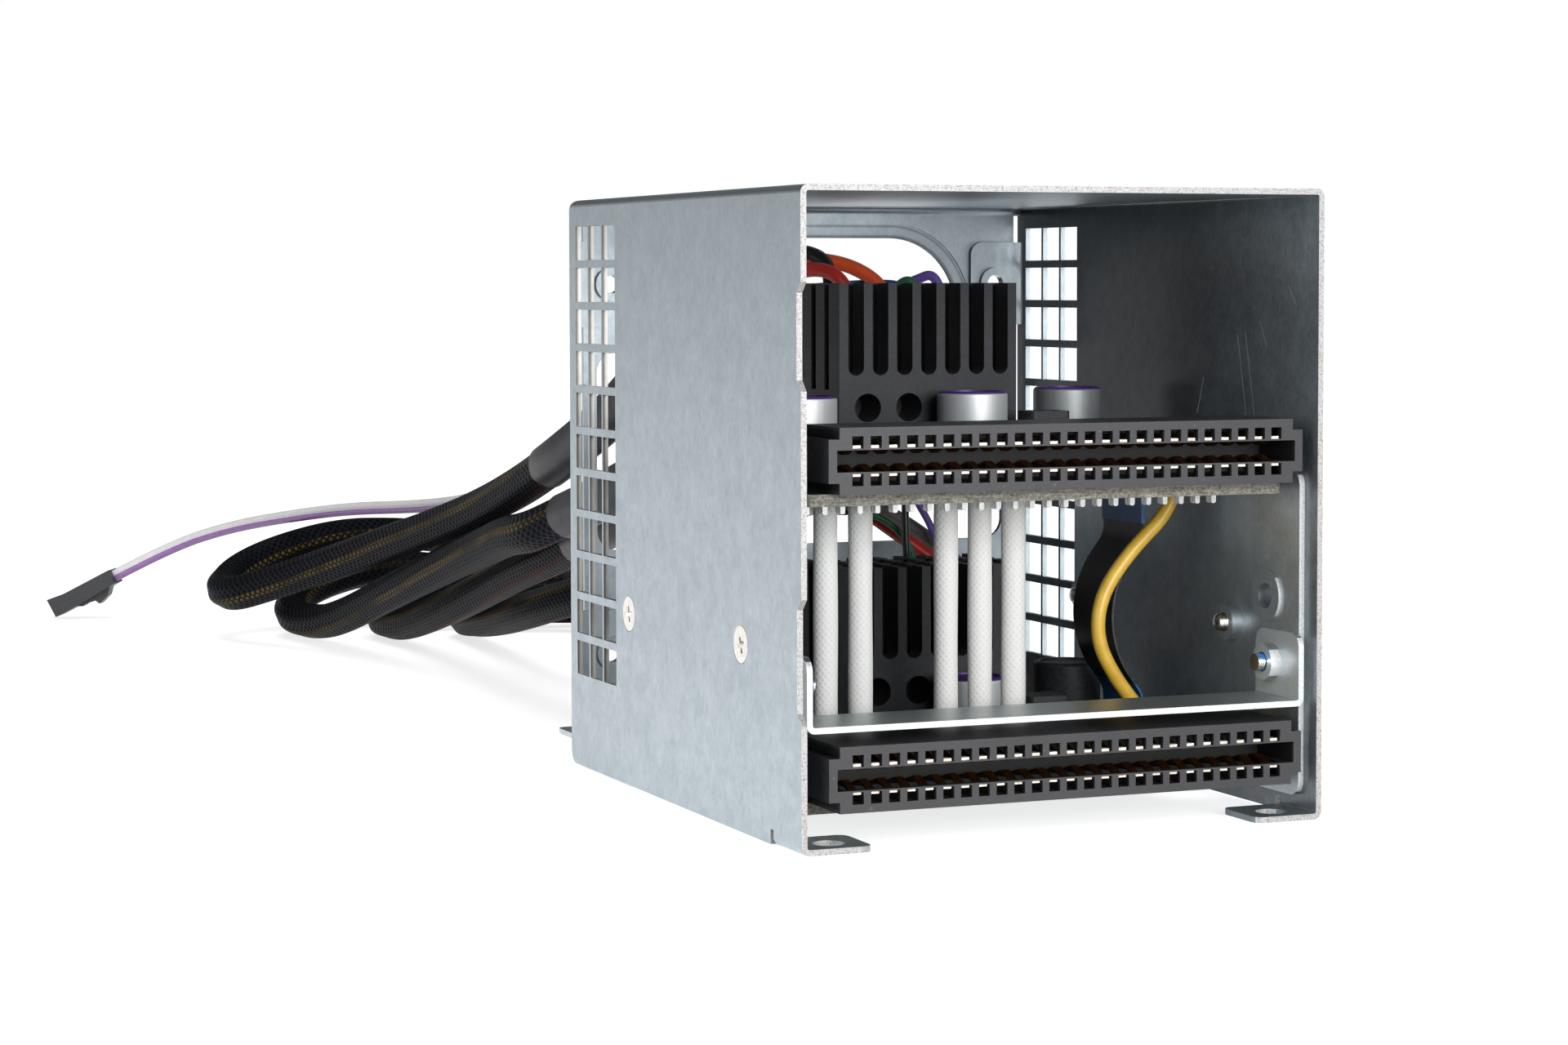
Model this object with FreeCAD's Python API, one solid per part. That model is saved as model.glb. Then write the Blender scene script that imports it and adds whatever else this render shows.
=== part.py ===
import FreeCAD, Part
import math
import os

Vector = FreeCAD.Vector

# Cage of a redundant power supply: a folded cover over two stacked boards with card-edge sockets.
# Millimetres. X to the right, Y to the rear, Z up, origin on the floor in the middle of the cage.

# Cover
cover_width = 76.0
cover_height = 85.0
cover_depth = 91.0
sheet = 0.8
bend_radius = 1.1
wall_corner_radius = 2.0

# Vents, the same block in both side walls
vent_rows = 11
vent_columns = 3
vent_width = 5.47
vent_height = 5.07
vent_row_pitch = 6.22
vent_column_pitch = 6.06
vent_top_margin = 3.94
vent_rear_margin = 3.0

# Finger notches in the front edge of the left wall
notch_depth = 1.4
upper_notch_top_margin = 12.3
upper_notch_height = 13.8
lower_notch_bottom = 16.6
lower_notch_height = 16.0

# Front feet, bent inwards from the side walls
foot_width = 10.0
foot_depth = 9.5
foot_corner_radius = 1.5
foot_hole_radius = 2.15
foot_hole_in = 5.4
foot_hole_back = 4.0
foot_relief = 1.0
foot_bend_height = 2.0

# Rear panel with its cable opening: an arch above, a wider bay below
panel_relief = 1.1
panel_bottom = 4.2
arch_side_margin = 11.8
arch_top_margin = 5.5
arch_radius = 11.5
arch_rim_width = 2.3
arch_rim_depth = 0.3
bay_side_margin = 4.0
bay_bottom = 32.0
bay_top_margin = 23.0
bay_corner_radius = 3.0

# Rear tabs of the side walls, with a drawn screw hole each
tab_reach = 9.8
tab_height = 13.0
tab_corner_radius = 2.0
upper_tab_top_margin = 6.1
lower_tab_bottom = 10.0
tab_panel_gap = 0.1
tab_hole_in = 5.9
tab_collar_height = 0.8
panel_hole_radius = 2.0

# Small machine screws and the drawn collars that they bite in
screw_radius = 1.2
screw_clearance = 0.15
screw_end = 1.2
head_radius = 2.6
head_clearance = 0.1
collar_radius = 2.5
collar_height = 1.6
wall_screw_rows = (20.9, 64.9)
wall_screw_height = 24.9

# Inner plates along the side walls
plate_front = 3.3
plate_length = 66.2
plate_above_board = 1.3
plate_corner_radius = 2.0
flange_width = 8.0
flange_front = 23.0
tab_width = 5.5
board_tab_rows = (29.75, 59.75)
port_hole_radius = 1.8
port_rim_radius = 3.7
port_rim_height = 0.4
port_hole_back = 11.7
port_hole_height = 29.4

# Rear feet, tongues of the inner plates
rear_foot_reach = 13.0
rear_foot_width = 10.0
rear_foot_root = 62.0
rear_foot_hole_from_end = 5.5

# Shelf bracket between the two bays
shelf_bottom = 15.2
shelf_front = 2.0
shelf_depth = 11.4
ear_height = 9.8
ear_corner_radius = 2.0
shelf_screw_back = 9.0
shelf_screw_rise = 5.4

# Boards
lower_board_bottom = 3.5
bay_pitch = 40.6
board_thickness = 1.6
board_front = 2.5
board_length = 73.5
board_left_gap = 0.3
board_right_gap = 3.2
board_corner_radius = 1.0
board_hole_radius = 1.6
board_screw_in = 3.4
pan_head_radius = 2.6
pan_head_height = 1.8
board_screw_length = 3.4

# Card-edge sockets
socket_shift = 0.3
socket_side_gap = 5.0
socket_height = 8.55
socket_depth = 12.5
wing_reach = 1.5
wing_height = 5.6
slot_past_body = 0.35
slot_height = 2.8
slot_depth = 9.5
lip_thickness = 1.2
chamber_height = 6.3
chamber_side_margin = 1.1
contact_pitch = 2.54
contact_end_margin = 0.75
window_width = 1.57
window_height = 1.55
window_rise = 2.39
contact_width = 1.1
contact_thickness = 0.36
contact_tip_setback = 0.4
contact_tip_length = 1.2
contact_bulge_back = 4.4
contact_bulge_rise = 0.8
contact_leg_rise = 2.0
contact_leg_lead = 1.0
leg_slit_height = 0.6
tail_rows = (17.0, 18.0)
tail_width = 0.72
tail_thickness = 0.5
tail_length = 2.1
tail_end_radius = 0.3

# Pin-fin heat sinks, by the place of their middle from the cage's middle
sink_width = 27.8
sink_depth = 18.6
sink_height = 26.8
sink_shifts = {"upper": 0.9, "lower": 2.4}
sink_front = 46.0
fin_slots = 7
fin_slot_width = 2.43
fin_slot_pitch = 3.77
fin_slot_bottom = 13.7
cross_slots = 3
cross_slot_width = 1.75
cross_slot_pitch = 4.8
cross_slot_front = 3.8
cross_slot_bottom = 11.6
sink_hole_radius = 2.03
sink_hole_height = 9.1
sink_hole_depth = 7.0
sink_holes = (4.4, 10.8)

# Can capacitors: one near each side wall and one beside the middle, at three rows from the front
capacitor_radius = 5.0
capacitor_height = 11.5
capacitor_edge = 0.7
capacitor_neck_height = 2.0
capacitor_neck_width = 1.1
capacitor_neck_depth = 0.45
capacitor_rim_width = 1.1
capacitor_dish_depth = 0.25
capacitor_from_left = 13.2
capacitor_beside_middle = 5.2
capacitor_from_right = 11.8
capacitor_rows = (31.9, 40.6, 52.2)

# Ferrite bars on tinned straps
ferrite_beside_middle = 15.3
ferrite_back = 38.2
ferrite_width = 6.0
ferrite_depth = 5.2
ferrite_height = 1.3
strap_height = 7.3
strap_width = 4.8
strap_depth = 4.0
strap_thickness = 0.6

# Flat jumper between the boards and its two sockets
flex_from_right = 8.8
flex_front = 34.0
flex_width = 12.0
flex_thickness = 0.3
flex_bulge = 8.4
flex_bulge_radius = 14.0
flex_end_length = 6.0
flex_end_radius = 4.0
flex_in_socket = 1.4
stiffener_thickness = 0.25
stiffener_length = 3.8
flex_socket_width = 3.6
flex_socket_height = 2.2
flex_socket_margin = 0.8
flex_slot_clearance = 0.1
latch_width = 0.9
latch_height = 1.5

# Leads between the boards, a pair and a trio by their first one's place from the middle
sleeve_radius = 1.72
sleeve_back = 22.5
sleeve_pitch = 5.1
sleeve_pair_start = -25.15
sleeve_trio_start = -7.4
yellow_lead_radius = 1.0
sense_lead_radius = 0.55

# Leads from the boards to the cables
lead_radius = 1.1
signal_lead_radius = 0.75

# Share of the shorter run that a cord's bend takes up on each side of its point
bend_share = 0.45

# Output cables
cable_radius = 3.6
shrink_radius = 3.8
plug_pitch = 4.2
plug_wall = 0.7
plug_height = 9.8
plug_length = 19.0
plug_cell = 3.4
plug_cell_depth = 8.0
plug_latch_width = 4.0
plug_latch_height = 1.6
plug_latch_length = 13.0
signal_cable_radius = 1.3
signal_plug_length = 14.8
signal_plug_width = 7.6
signal_neck_length = 10.9
signal_neck_rise = 1.6
signal_mouth_rise = 2.1
signal_latch_width = 3.8
signal_latch_outline = ((1.6, 1.6), (2.95, 3.1), (5.4, 3.9), (5.9, 2.9), (8.1, 2.5), (8.9, 2.7), (10.1, 2.1))
signal_cell = 1.4
signal_cell_pitch = 3.2
signal_cell_depth = 5.0

# Values that follow from the sizes above
half_width = cover_width / 2
front_y = -(cover_depth + rear_foot_reach) / 2
rear_y = front_y + cover_depth
plate_outer = half_width - sheet
plate_inner = plate_outer - sheet
ear_inner = plate_inner - sheet
upper_board_bottom = lower_board_bottom + bay_pitch
board_bottoms = {"upper": upper_board_bottom, "lower": lower_board_bottom}
board_tops = {level: bottom + board_thickness for level, bottom in board_bottoms.items()}
upper_notch_bottom = cover_height - upper_notch_top_margin - upper_notch_height
bay_top = cover_height - bay_top_margin
upper_tab_bottom = cover_height - upper_tab_top_margin - tab_height
socket_length = cover_width - 2 * socket_side_gap
contact_count = int((socket_length - 2 * contact_end_margin) / contact_pitch)
capacitor_columns = (capacitor_from_left - half_width, capacitor_beside_middle,
                     half_width - capacitor_from_right)
sleeve_columns = ([sleeve_pair_start + index * sleeve_pitch for index in range(2)]
                  + [sleeve_trio_start + index * sleeve_pitch for index in range(3)])
screw_hole_radius = screw_radius + screw_clearance
overshoot = 1.0


def across(offset):
    """X of a place measured from the left wall's outer face."""
    return offset - half_width


def back(offset):
    """Y of a place measured from the front edge."""
    return front_y + offset


def block(x0, x1, y0, y1, z0, z1):
    return Part.makeBox(x1 - x0, y1 - y0, z1 - z0, Vector(x0, y0, z0))


def rod(start, end, radius):
    """Round bar from one point to another."""
    return Part.makeCylinder(radius, (end - start).Length, start, end - start)


def mirrored(shape):
    """The same shape on the other side of the middle plane."""
    return shape.mirror(Vector(0, 0, 0), Vector(1, 0, 0))


def rounded_wire(corners):
    """Closed outline through (point, radius) corners, with a tangent arc at each corner that has a radius."""
    stretches = []
    for index, (point, radius) in enumerate(corners):
        to_last = (corners[index - 1][0] - point).normalize()
        to_next = (corners[(index + 1) % len(corners)][0] - point).normalize()
        if radius == 0:
            stretches.append((point, None, point))
            continue
        half_angle = to_last.getAngle(to_next) / 2
        reach = radius / math.tan(half_angle)
        middle = point + (to_last + to_next).normalize() * (radius / math.sin(half_angle) - radius)
        stretches.append((point + to_last * reach, middle, point + to_next * reach))
    edges = []
    for index, (start, middle, end) in enumerate(stretches):
        if middle is not None:
            edges.append(Part.Arc(start, middle, end).toShape())
        next_start = stretches[(index + 1) % len(stretches)][0]
        edges.append(Part.LineSegment(end, next_start).toShape())
    return Part.Wire(edges)


def slab_along_x(x0, x1, corners):
    """Plate with a (y, z, radius) outline, from x0 to x1."""
    wire = rounded_wire([(Vector(x0, y, z), radius) for y, z, radius in corners])
    return Part.Face(wire).extrude(Vector(x1 - x0, 0, 0))


def slab_along_y(y0, y1, corners):
    """Plate with an (x, z, radius) outline, from y0 to y1."""
    wire = rounded_wire([(Vector(x, y0, z), radius) for x, z, radius in corners])
    return Part.Face(wire).extrude(Vector(0, y1 - y0, 0))


def slab_along_z(z0, z1, corners):
    """Plate with an (x, y, radius) outline, from z0 to z1."""
    wire = rounded_wire([(Vector(x, y, z0), radius) for x, y, radius in corners])
    return Part.Face(wire).extrude(Vector(0, 0, z1 - z0))


def strip_corners(path, thickness):
    """Outline of a strip of even thickness along a bent centre line of (u, v, bend radius) points."""
    half = thickness / 2
    left = []
    right = []
    for index, (u, v, radius) in enumerate(path):
        before = path[index - 1] if index > 0 else None
        after = path[index + 1] if index + 1 < len(path) else None
        runs = []
        if before is not None:
            runs.append(Vector(u - before[0], v - before[1], 0).normalize())
        if after is not None:
            runs.append(Vector(after[0] - u, after[1] - v, 0).normalize())
        normals = [Vector(-run.y, run.x, 0) for run in runs]
        offset = normals[0] * half
        turn = 0
        if len(runs) == 2:
            offset = (normals[0] + normals[1]) * (half / (1 + normals[0].dot(normals[1])))
            turn = math.copysign(half, runs[0].cross(runs[1]).z)
        left.append((u + offset.x, v + offset.y, radius - turn if radius else 0))
        right.append((u - offset.x, v - offset.y, radius + turn if radius else 0))
    return left + right[::-1]


def route(points):
    """Path of straight runs with a tangent arc at each inner point, as large as the runs allow."""
    edges = []
    radii = []
    start = points[0]
    for last, point, following in zip(points, points[1:], points[2:]):
        to_last = last - point
        to_next = following - point
        shorter = min(to_last.Length, to_next.Length)
        half_angle = to_last.getAngle(to_next) / 2
        reach = bend_share * shorter
        radius = reach * math.tan(half_angle)
        to_last.normalize()
        to_next.normalize()
        bisector = (to_last + to_next).normalize()
        middle = point + bisector * (radius / math.sin(half_angle) - radius)
        arc_start = point + to_last * reach
        arc_end = point + to_next * reach
        edges.append(Part.LineSegment(start, arc_start).toShape())
        edges.append(Part.Arc(arc_start, middle, arc_end).toShape())
        radii.append(radius)
        start = arc_end
    edges.append(Part.LineSegment(start, points[-1]).toShape())
    return Part.Wire(edges), radii


def tube(name, places, radius):
    """Round cord along a hand-chosen route. Prints its length, bends and volume over section times length."""
    points = [Vector(*place) for place in places]
    path, radii = route(points)
    circle = Part.Circle(points[0], points[1] - points[0], radius)
    solid = path.makePipeShell([Part.Wire(circle.toShape())], True, False)
    expected = math.pi * radius * radius * path.Length
    bends = " ".join("%.0f" % bend for bend in radii)
    print("%s length %.1f volume ratio %.4f radii %s" % (name, path.Length, solid.Volume / expected, bends))
    return solid


def countersink(y, z, face_x, inward):
    """Screw hole with a conical seat, cut into a sheet whose outer face is at face_x."""
    axis = Vector(inward, 0, 0)
    mouth = Vector(face_x, y, z)
    seat = Part.makeCone(head_radius, screw_hole_radius, sheet, mouth, axis)
    return seat.fuse(rod(mouth - axis * overshoot, mouth + axis * (sheet + overshoot), screw_hole_radius))


def flat_head_screw(y, z, face_x, inward, grip):
    """Countersunk screw, flush with face_x, whose end stands out past its grip."""
    axis = Vector(inward, 0, 0)
    mouth = Vector(face_x, y, z)
    head = Part.makeCone(head_radius - head_clearance, screw_radius, sheet, mouth, axis)
    return head.fuse(rod(mouth, mouth + axis * (grip + screw_end), screw_radius)).removeSplitter()


def channel(height, width, depth_end, rear_radius, top_radius, low_radius, start):
    """Bent channel: a front view with rounded top corners, cut by a side view with rounded rear ones."""
    front_view = slab_along_y(front_y - start, depth_end, [
        (-width / 2, -start, 0),
        (width / 2, -start, 0),
        (width / 2, height, top_radius),
        (-width / 2, height, top_radius),
    ])
    side_view = slab_along_x(-width / 2, width / 2, [
        (front_y - start, -start, 0),
        (depth_end, -start, low_radius),
        (depth_end, height, rear_radius),
        (front_y - start, height, 0),
    ])
    return front_view.common(side_view)


def cover_shell():
    """Top, walls and rear panel, with a slit that frees the panel from each wall below its bend."""
    outer = channel(cover_height, cover_width, rear_y,
                    bend_radius + sheet, bend_radius, wall_corner_radius, 0)
    inner = channel(cover_height - sheet, cover_width - 2 * sheet, rear_y - sheet,
                    bend_radius, bend_radius - sheet, 0, overshoot)
    shell = outer.cut(inner)
    slit_top = cover_height - bend_radius - sheet
    slit = block(-plate_outer, -plate_outer + panel_relief,
                 rear_y - sheet, rear_y + overshoot, -overshoot, slit_top)
    below_panel = block(-plate_outer, plate_outer,
                        rear_y - 2 * sheet, rear_y + overshoot, -overshoot, panel_bottom)
    return shell.cut([slit, mirrored(slit), below_panel])


def vent_block():
    """Rectangular vents through both side walls."""
    vents = []
    for row in range(vent_rows):
        top = cover_height - vent_top_margin - row * vent_row_pitch
        for column in range(vent_columns):
            rear_edge = rear_y - vent_rear_margin - column * vent_column_pitch
            vents.append(block(-half_width - overshoot, half_width + overshoot,
                               rear_edge - vent_width, rear_edge, top - vent_height, top))
    return vents


def front_notch(bottom, height):
    """Shallow notch with sloped ends in the left wall's front edge."""
    return slab_along_x(-half_width - overshoot, -plate_outer + overshoot, [
        (front_y - notch_depth, bottom - notch_depth, 0),
        (front_y + notch_depth, bottom + notch_depth, 0),
        (front_y + notch_depth, bottom + height - notch_depth, 0),
        (front_y - notch_depth, bottom + height + notch_depth, 0),
    ])


def arch_outline(grow, bottom):
    """Outline of the upper part of the cable opening, widened all round by grow."""
    side = half_width - arch_side_margin + grow
    top = cover_height - arch_top_margin + grow
    return [
        (-side, bottom, 0),
        (side, bottom, 0),
        (side, top, arch_radius + grow),
        (-side, top, arch_radius + grow),
    ]


def cable_opening():
    """Arch and bay through the rear panel, with a coined rim round the arch."""
    arch = slab_along_y(rear_y - 2 * sheet, rear_y + overshoot, arch_outline(0, bay_top - overshoot))
    rim = slab_along_y(rear_y - 2 * sheet, rear_y - sheet + arch_rim_depth,
                       arch_outline(arch_rim_width, bay_top))
    bay_side = half_width - bay_side_margin
    bay = slab_along_y(rear_y - 2 * sheet, rear_y + overshoot, [
        (-bay_side, bay_bottom, bay_corner_radius),
        (bay_side, bay_bottom, bay_corner_radius),
        (bay_side, bay_top, bay_corner_radius),
        (-bay_side, bay_top, bay_corner_radius),
    ])
    return [arch, rim, bay]


def front_foot():
    """Left foot: an angle with a rounded bend and rounded free corners, and its screw hole."""
    angle = slab_along_y(front_y, front_y + foot_depth, [
        (-half_width, foot_bend_height, 0),
        (-half_width, 0, bend_radius),
        (-half_width + foot_width, 0, 0),
        (-half_width + foot_width, sheet, 0),
        (-half_width + sheet, sheet, bend_radius - sheet),
        (-half_width + sheet, foot_bend_height, 0),
    ])
    plan = slab_along_z(-overshoot, foot_bend_height, [
        (-half_width, front_y, 0),
        (-half_width + foot_width, front_y, foot_corner_radius),
        (-half_width + foot_width, front_y + foot_depth, foot_corner_radius),
        (-half_width, front_y + foot_depth, 0),
    ])
    mouth = Vector(across(foot_hole_in), back(foot_hole_back), -overshoot)
    hole = rod(mouth, mouth + Vector(0, 0, sheet + 2 * overshoot), foot_hole_radius)
    return angle.common(plan).cut(hole)


def rear_tab(bottom):
    """Left tab bent in behind the rear panel, with a drawn collar round its screw hole."""
    tab_rear = rear_y - sheet - tab_panel_gap
    tab = slab_along_y(tab_rear - sheet, tab_rear, [
        (-plate_outer - sheet / 2, bottom, 0),
        (-half_width + tab_reach, bottom, tab_corner_radius),
        (-half_width + tab_reach, bottom + tab_height, tab_corner_radius),
        (-plate_outer - sheet / 2, bottom + tab_height, 0),
    ])
    centre = Vector(across(tab_hole_in), tab_rear, bottom + tab_height / 2)
    inner_end = centre - Vector(0, sheet + tab_collar_height, 0)
    past_end = Vector(0, overshoot, 0)
    tab = tab.fuse(rod(centre, inner_end, collar_radius))
    return tab.cut(rod(centre + past_end, inner_end - past_end, screw_hole_radius))


def make_cover():
    foot_relief_block = block(-half_width - overshoot, -plate_outer + overshoot, front_y - overshoot,
                              front_y + foot_depth + foot_relief, -overshoot, foot_bend_height)
    cuts = vent_block() + cable_opening()
    cuts += [foot_relief_block, mirrored(foot_relief_block)]
    cuts.append(front_notch(upper_notch_bottom, upper_notch_height))
    cuts.append(front_notch(lower_notch_bottom, lower_notch_height))
    for row in wall_screw_rows:
        hole = countersink(back(row), wall_screw_height, -half_width, 1)
        cuts += [hole, mirrored(hole)]
    for bottom in (upper_tab_bottom, lower_tab_bottom):
        centre = Vector(across(tab_hole_in), rear_y, bottom + tab_height / 2)
        start = centre - Vector(0, sheet + tab_panel_gap, 0)
        hole = rod(start, centre + Vector(0, overshoot, 0), panel_hole_radius)
        cuts += [hole, mirrored(hole)]
    shell = cover_shell().cut(cuts)
    additions = []
    for piece in (front_foot(), rear_tab(upper_tab_bottom), rear_tab(lower_tab_bottom)):
        additions += [piece, mirrored(piece)]
    return shell.fuse(additions).removeSplitter()


def inward_collar(y, z, inner_face, height, radius):
    """Drawn collar on the inner face of a left-hand sheet."""
    return rod(Vector(inner_face - sheet / 2, y, z), Vector(inner_face + height, y, z), radius)


def screw_hole_below(place):
    """Screw hole through the sheet that a board rests on at this place."""
    return rod(place - Vector(0, 0, 2 * sheet), place + Vector(0, 0, sheet / 2), screw_hole_radius)


def make_left_plate():
    """Left inner plate: upright, bottom flange with the rear foot, and two tabs under the upper board."""
    bottom = lower_board_bottom - sheet
    top = board_tops["upper"] + plate_above_board
    rear = plate_front + plate_length
    upright = slab_along_x(-plate_outer, -plate_inner, [
        (back(plate_front), bottom, plate_corner_radius),
        (back(rear), bottom, 0),
        (back(rear), top, plate_corner_radius),
        (back(plate_front), top, plate_corner_radius),
    ])
    foot_left = -plate_outer + panel_relief
    foot_right = foot_left + rear_foot_width
    foot_end = rear_y + rear_foot_reach
    flange = slab_along_z(bottom, lower_board_bottom, [
        (-plate_outer, back(flange_front), 0),
        (-plate_inner + flange_width, back(flange_front), foot_corner_radius),
        (-plate_inner + flange_width, back(rear_foot_root - foot_corner_radius), 0),
        (foot_right, back(rear_foot_root), 0),
        (foot_right, foot_end, foot_corner_radius),
        (foot_left, foot_end, foot_corner_radius),
        (foot_left, back(rear), 0),
        (-plate_outer, back(rear), 0),
    ])
    pieces = [flange]
    for row in board_tab_rows:
        pieces.append(slab_along_z(upper_board_bottom - sheet, upper_board_bottom, [
            (-plate_outer, back(row - tab_width / 2), 0),
            (-plate_inner + flange_width, back(row - tab_width / 2), foot_corner_radius),
            (-plate_inner + flange_width, back(row + tab_width / 2), foot_corner_radius),
            (-plate_outer, back(row + tab_width / 2), 0),
        ]))
    for row in wall_screw_rows:
        pieces.append(inward_collar(back(row), wall_screw_height, -plate_inner, collar_height, collar_radius))
    pieces.append(inward_collar(back(port_hole_back), port_hole_height, -plate_inner,
                                port_rim_height, port_rim_radius))
    holes = []
    for row in wall_screw_rows:
        start = Vector(-half_width, back(row), wall_screw_height)
        holes.append(rod(start, start + Vector(2 * collar_height + 3 * sheet, 0, 0), screw_hole_radius))
    port = Vector(-half_width, back(port_hole_back), port_hole_height)
    holes.append(rod(port, port + Vector(4 * sheet, 0, 0), port_hole_radius))
    holes.append(countersink(back(shelf_screw_back), shelf_bottom + shelf_screw_rise, -plate_outer, 1))
    foot_hole = Vector((foot_left + foot_right) / 2, foot_end - rear_foot_hole_from_end, bottom - overshoot)
    holes.append(rod(foot_hole, foot_hole + Vector(0, 0, sheet + 2 * overshoot), foot_hole_radius))
    for bottom_face in board_bottoms.values():
        holes += [screw_hole_below(place) for place in board_screw_places(bottom_face)[:2]]
    return upright.fuse(pieces).cut(holes).removeSplitter()


def make_right_plate():
    """Right inner plate: the left one mirrored, with its board screw holes under the board's right edge."""
    plate = mirrored(make_left_plate())
    fill = []
    holes = []
    for bottom_face in board_bottoms.values():
        for place in board_screw_places(bottom_face)[:2]:
            start = Vector(-place.x, place.y, place.z - sheet)
            fill.append(rod(start, start + Vector(0, 0, sheet), screw_hole_radius))
        holes += [screw_hole_below(place) for place in board_screw_places(bottom_face)[2:]]
    return plate.fuse(fill).removeSplitter().cut(holes)


def make_shelf():
    """Bracket folded to a shallow tray, with an upright ear on each inner plate."""
    top = shelf_bottom + ear_height
    outline = [
        (-plate_inner, top, 0),
        (-plate_inner, shelf_bottom, bend_radius),
        (plate_inner, shelf_bottom, bend_radius),
        (plate_inner, top, 0),
        (ear_inner, top, 0),
        (ear_inner, shelf_bottom + sheet, bend_radius - sheet),
        (-ear_inner, shelf_bottom + sheet, bend_radius - sheet),
        (-ear_inner, top, 0),
    ]
    tray = slab_along_y(back(shelf_front), back(shelf_front + shelf_depth), outline)
    side_view = slab_along_x(-plate_inner, plate_inner, [
        (back(shelf_front), shelf_bottom, 0),
        (back(shelf_front + shelf_depth), shelf_bottom, 0),
        (back(shelf_front + shelf_depth), top, ear_corner_radius),
        (back(shelf_front), top, ear_corner_radius),
    ])
    height = shelf_bottom + shelf_screw_rise
    collar = inward_collar(back(shelf_screw_back), height, -ear_inner, collar_height, collar_radius)
    start = Vector(-half_width, back(shelf_screw_back), height)
    hole = rod(start, start + Vector(2 * collar_height + 4 * sheet, 0, 0), screw_hole_radius)
    return tray.common(side_view).fuse([collar, mirrored(collar)]).cut([hole, mirrored(hole)])


def board_sides():
    return -plate_inner + board_left_gap, plate_inner - board_right_gap


def board_screw_places(z):
    """Screw places of one board at height z: two on the left, then two on the right."""
    left, right = board_sides()
    places = [Vector(left + board_screw_in, back(row), z) for row in board_tab_rows]
    places += [Vector(right - board_screw_in, back(row), z) for row in board_tab_rows]
    return places


def make_board(level):
    left, right = board_sides()
    bottom = board_bottoms[level]
    rear = board_front + board_length
    board = slab_along_z(bottom, bottom + board_thickness, [
        (left, back(board_front), board_corner_radius),
        (right, back(board_front), board_corner_radius),
        (right, back(rear), board_corner_radius),
        (left, back(rear), board_corner_radius),
    ])
    holes = []
    for place in board_screw_places(bottom):
        holes.append(rod(place - Vector(0, 0, overshoot), place + Vector(0, 0, 2 * board_thickness),
                         board_hole_radius))
    return board.cut(holes)


def make_board_screws():
    """Pan-head screws that hold both boards to the plates' flange and tabs."""
    screws = []
    for top in board_tops.values():
        for place in board_screw_places(top):
            head = rod(place, place + Vector(0, 0, pan_head_height), pan_head_radius)
            shank = rod(place - Vector(0, 0, board_screw_length), place, screw_radius)
            screws.append(head.fuse(shank))
    return Part.makeCompound(screws)


def make_wall_screws():
    """Countersunk screws through cover and inner plates, two in each wall."""
    screws = []
    for row in wall_screw_rows:
        screw = flat_head_screw(back(row), wall_screw_height, -half_width, 1, 2 * sheet + collar_height)
        screws += [screw, mirrored(screw)]
    return Part.makeCompound(screws)


def make_shelf_screws():
    """Countersunk screws through the inner plates into the shelf's ears."""
    height = shelf_bottom + shelf_screw_rise
    screw = flat_head_screw(back(shelf_screw_back), height, -plate_outer, 1, 2 * sheet + collar_height)
    return Part.makeCompound([screw, mirrored(screw)])


def socket_centre(level):
    return Vector(socket_shift, front_y, board_tops[level] + socket_height / 2)


def contact_places():
    """X offsets of the contacts from the socket's middle."""
    first = -contact_pitch * (contact_count - 1) / 2
    return [first + index * contact_pitch for index in range(contact_count)]


def make_socket_housing(level):
    """Moulded card-edge socket: end wings, module slot, a window at each contact, slits for the legs."""
    centre = socket_centre(level)
    half = socket_length / 2
    rise = socket_height / 2
    wing = half + wing_reach
    wing_rise = wing_height / 2
    outline = [
        (-half, -rise), (half, -rise), (half, -wing_rise), (wing, -wing_rise),
        (wing, wing_rise), (half, wing_rise), (half, rise), (-half, rise),
        (-half, wing_rise), (-wing, wing_rise), (-wing, -wing_rise), (-half, -wing_rise),
    ]
    corners = [(centre.x + x, centre.z + z, 0) for x, z in outline]
    body = slab_along_y(centre.y, centre.y + socket_depth, corners)
    chamber_half = half - chamber_side_margin
    slot_end = centre.y + slot_depth
    cuts = [
        block(centre.x - half - slot_past_body, centre.x + half + slot_past_body,
              centre.y - overshoot, slot_end, centre.z - slot_height / 2, centre.z + slot_height / 2),
        block(centre.x - chamber_half, centre.x + chamber_half, centre.y + lip_thickness, slot_end,
              centre.z - chamber_height / 2, centre.z + chamber_height / 2),
    ]
    for side in (-1, 1):
        row_z = centre.z + side * contact_leg_rise
        cuts.append(block(centre.x - chamber_half, centre.x + chamber_half,
                          slot_end - overshoot, centre.y + socket_depth + overshoot,
                          row_z - leg_slit_height / 2, row_z + leg_slit_height / 2))
        window_z = centre.z + side * window_rise
        for x in contact_places():
            cuts.append(block(centre.x + x - window_width / 2, centre.x + x + window_width / 2,
                              centre.y - overshoot, centre.y + lip_thickness + overshoot / 2,
                              window_z - window_height / 2, window_z + window_height / 2))
    return body.cut(cuts).removeSplitter()


def contact_path(centre, side, tail_y):
    """Centre line of one spring contact, from its tip behind the window to its foot on the board."""
    tip_rise = window_rise - window_height / 2 + contact_thickness / 2
    leg_z = centre.z + side * contact_leg_rise
    board_z = centre.z - socket_height / 2
    return [
        (centre.y + contact_tip_setback, centre.z + side * tip_rise, 0),
        (centre.y + contact_tip_setback + contact_tip_length, centre.z + side * tip_rise, 0),
        (centre.y + contact_bulge_back, centre.z + side * contact_bulge_rise, 0),
        (centre.y + slot_depth - contact_leg_lead, leg_z, 0),
        (back(tail_y), leg_z, 0),
        (back(tail_y), board_z, 0),
    ]


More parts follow.
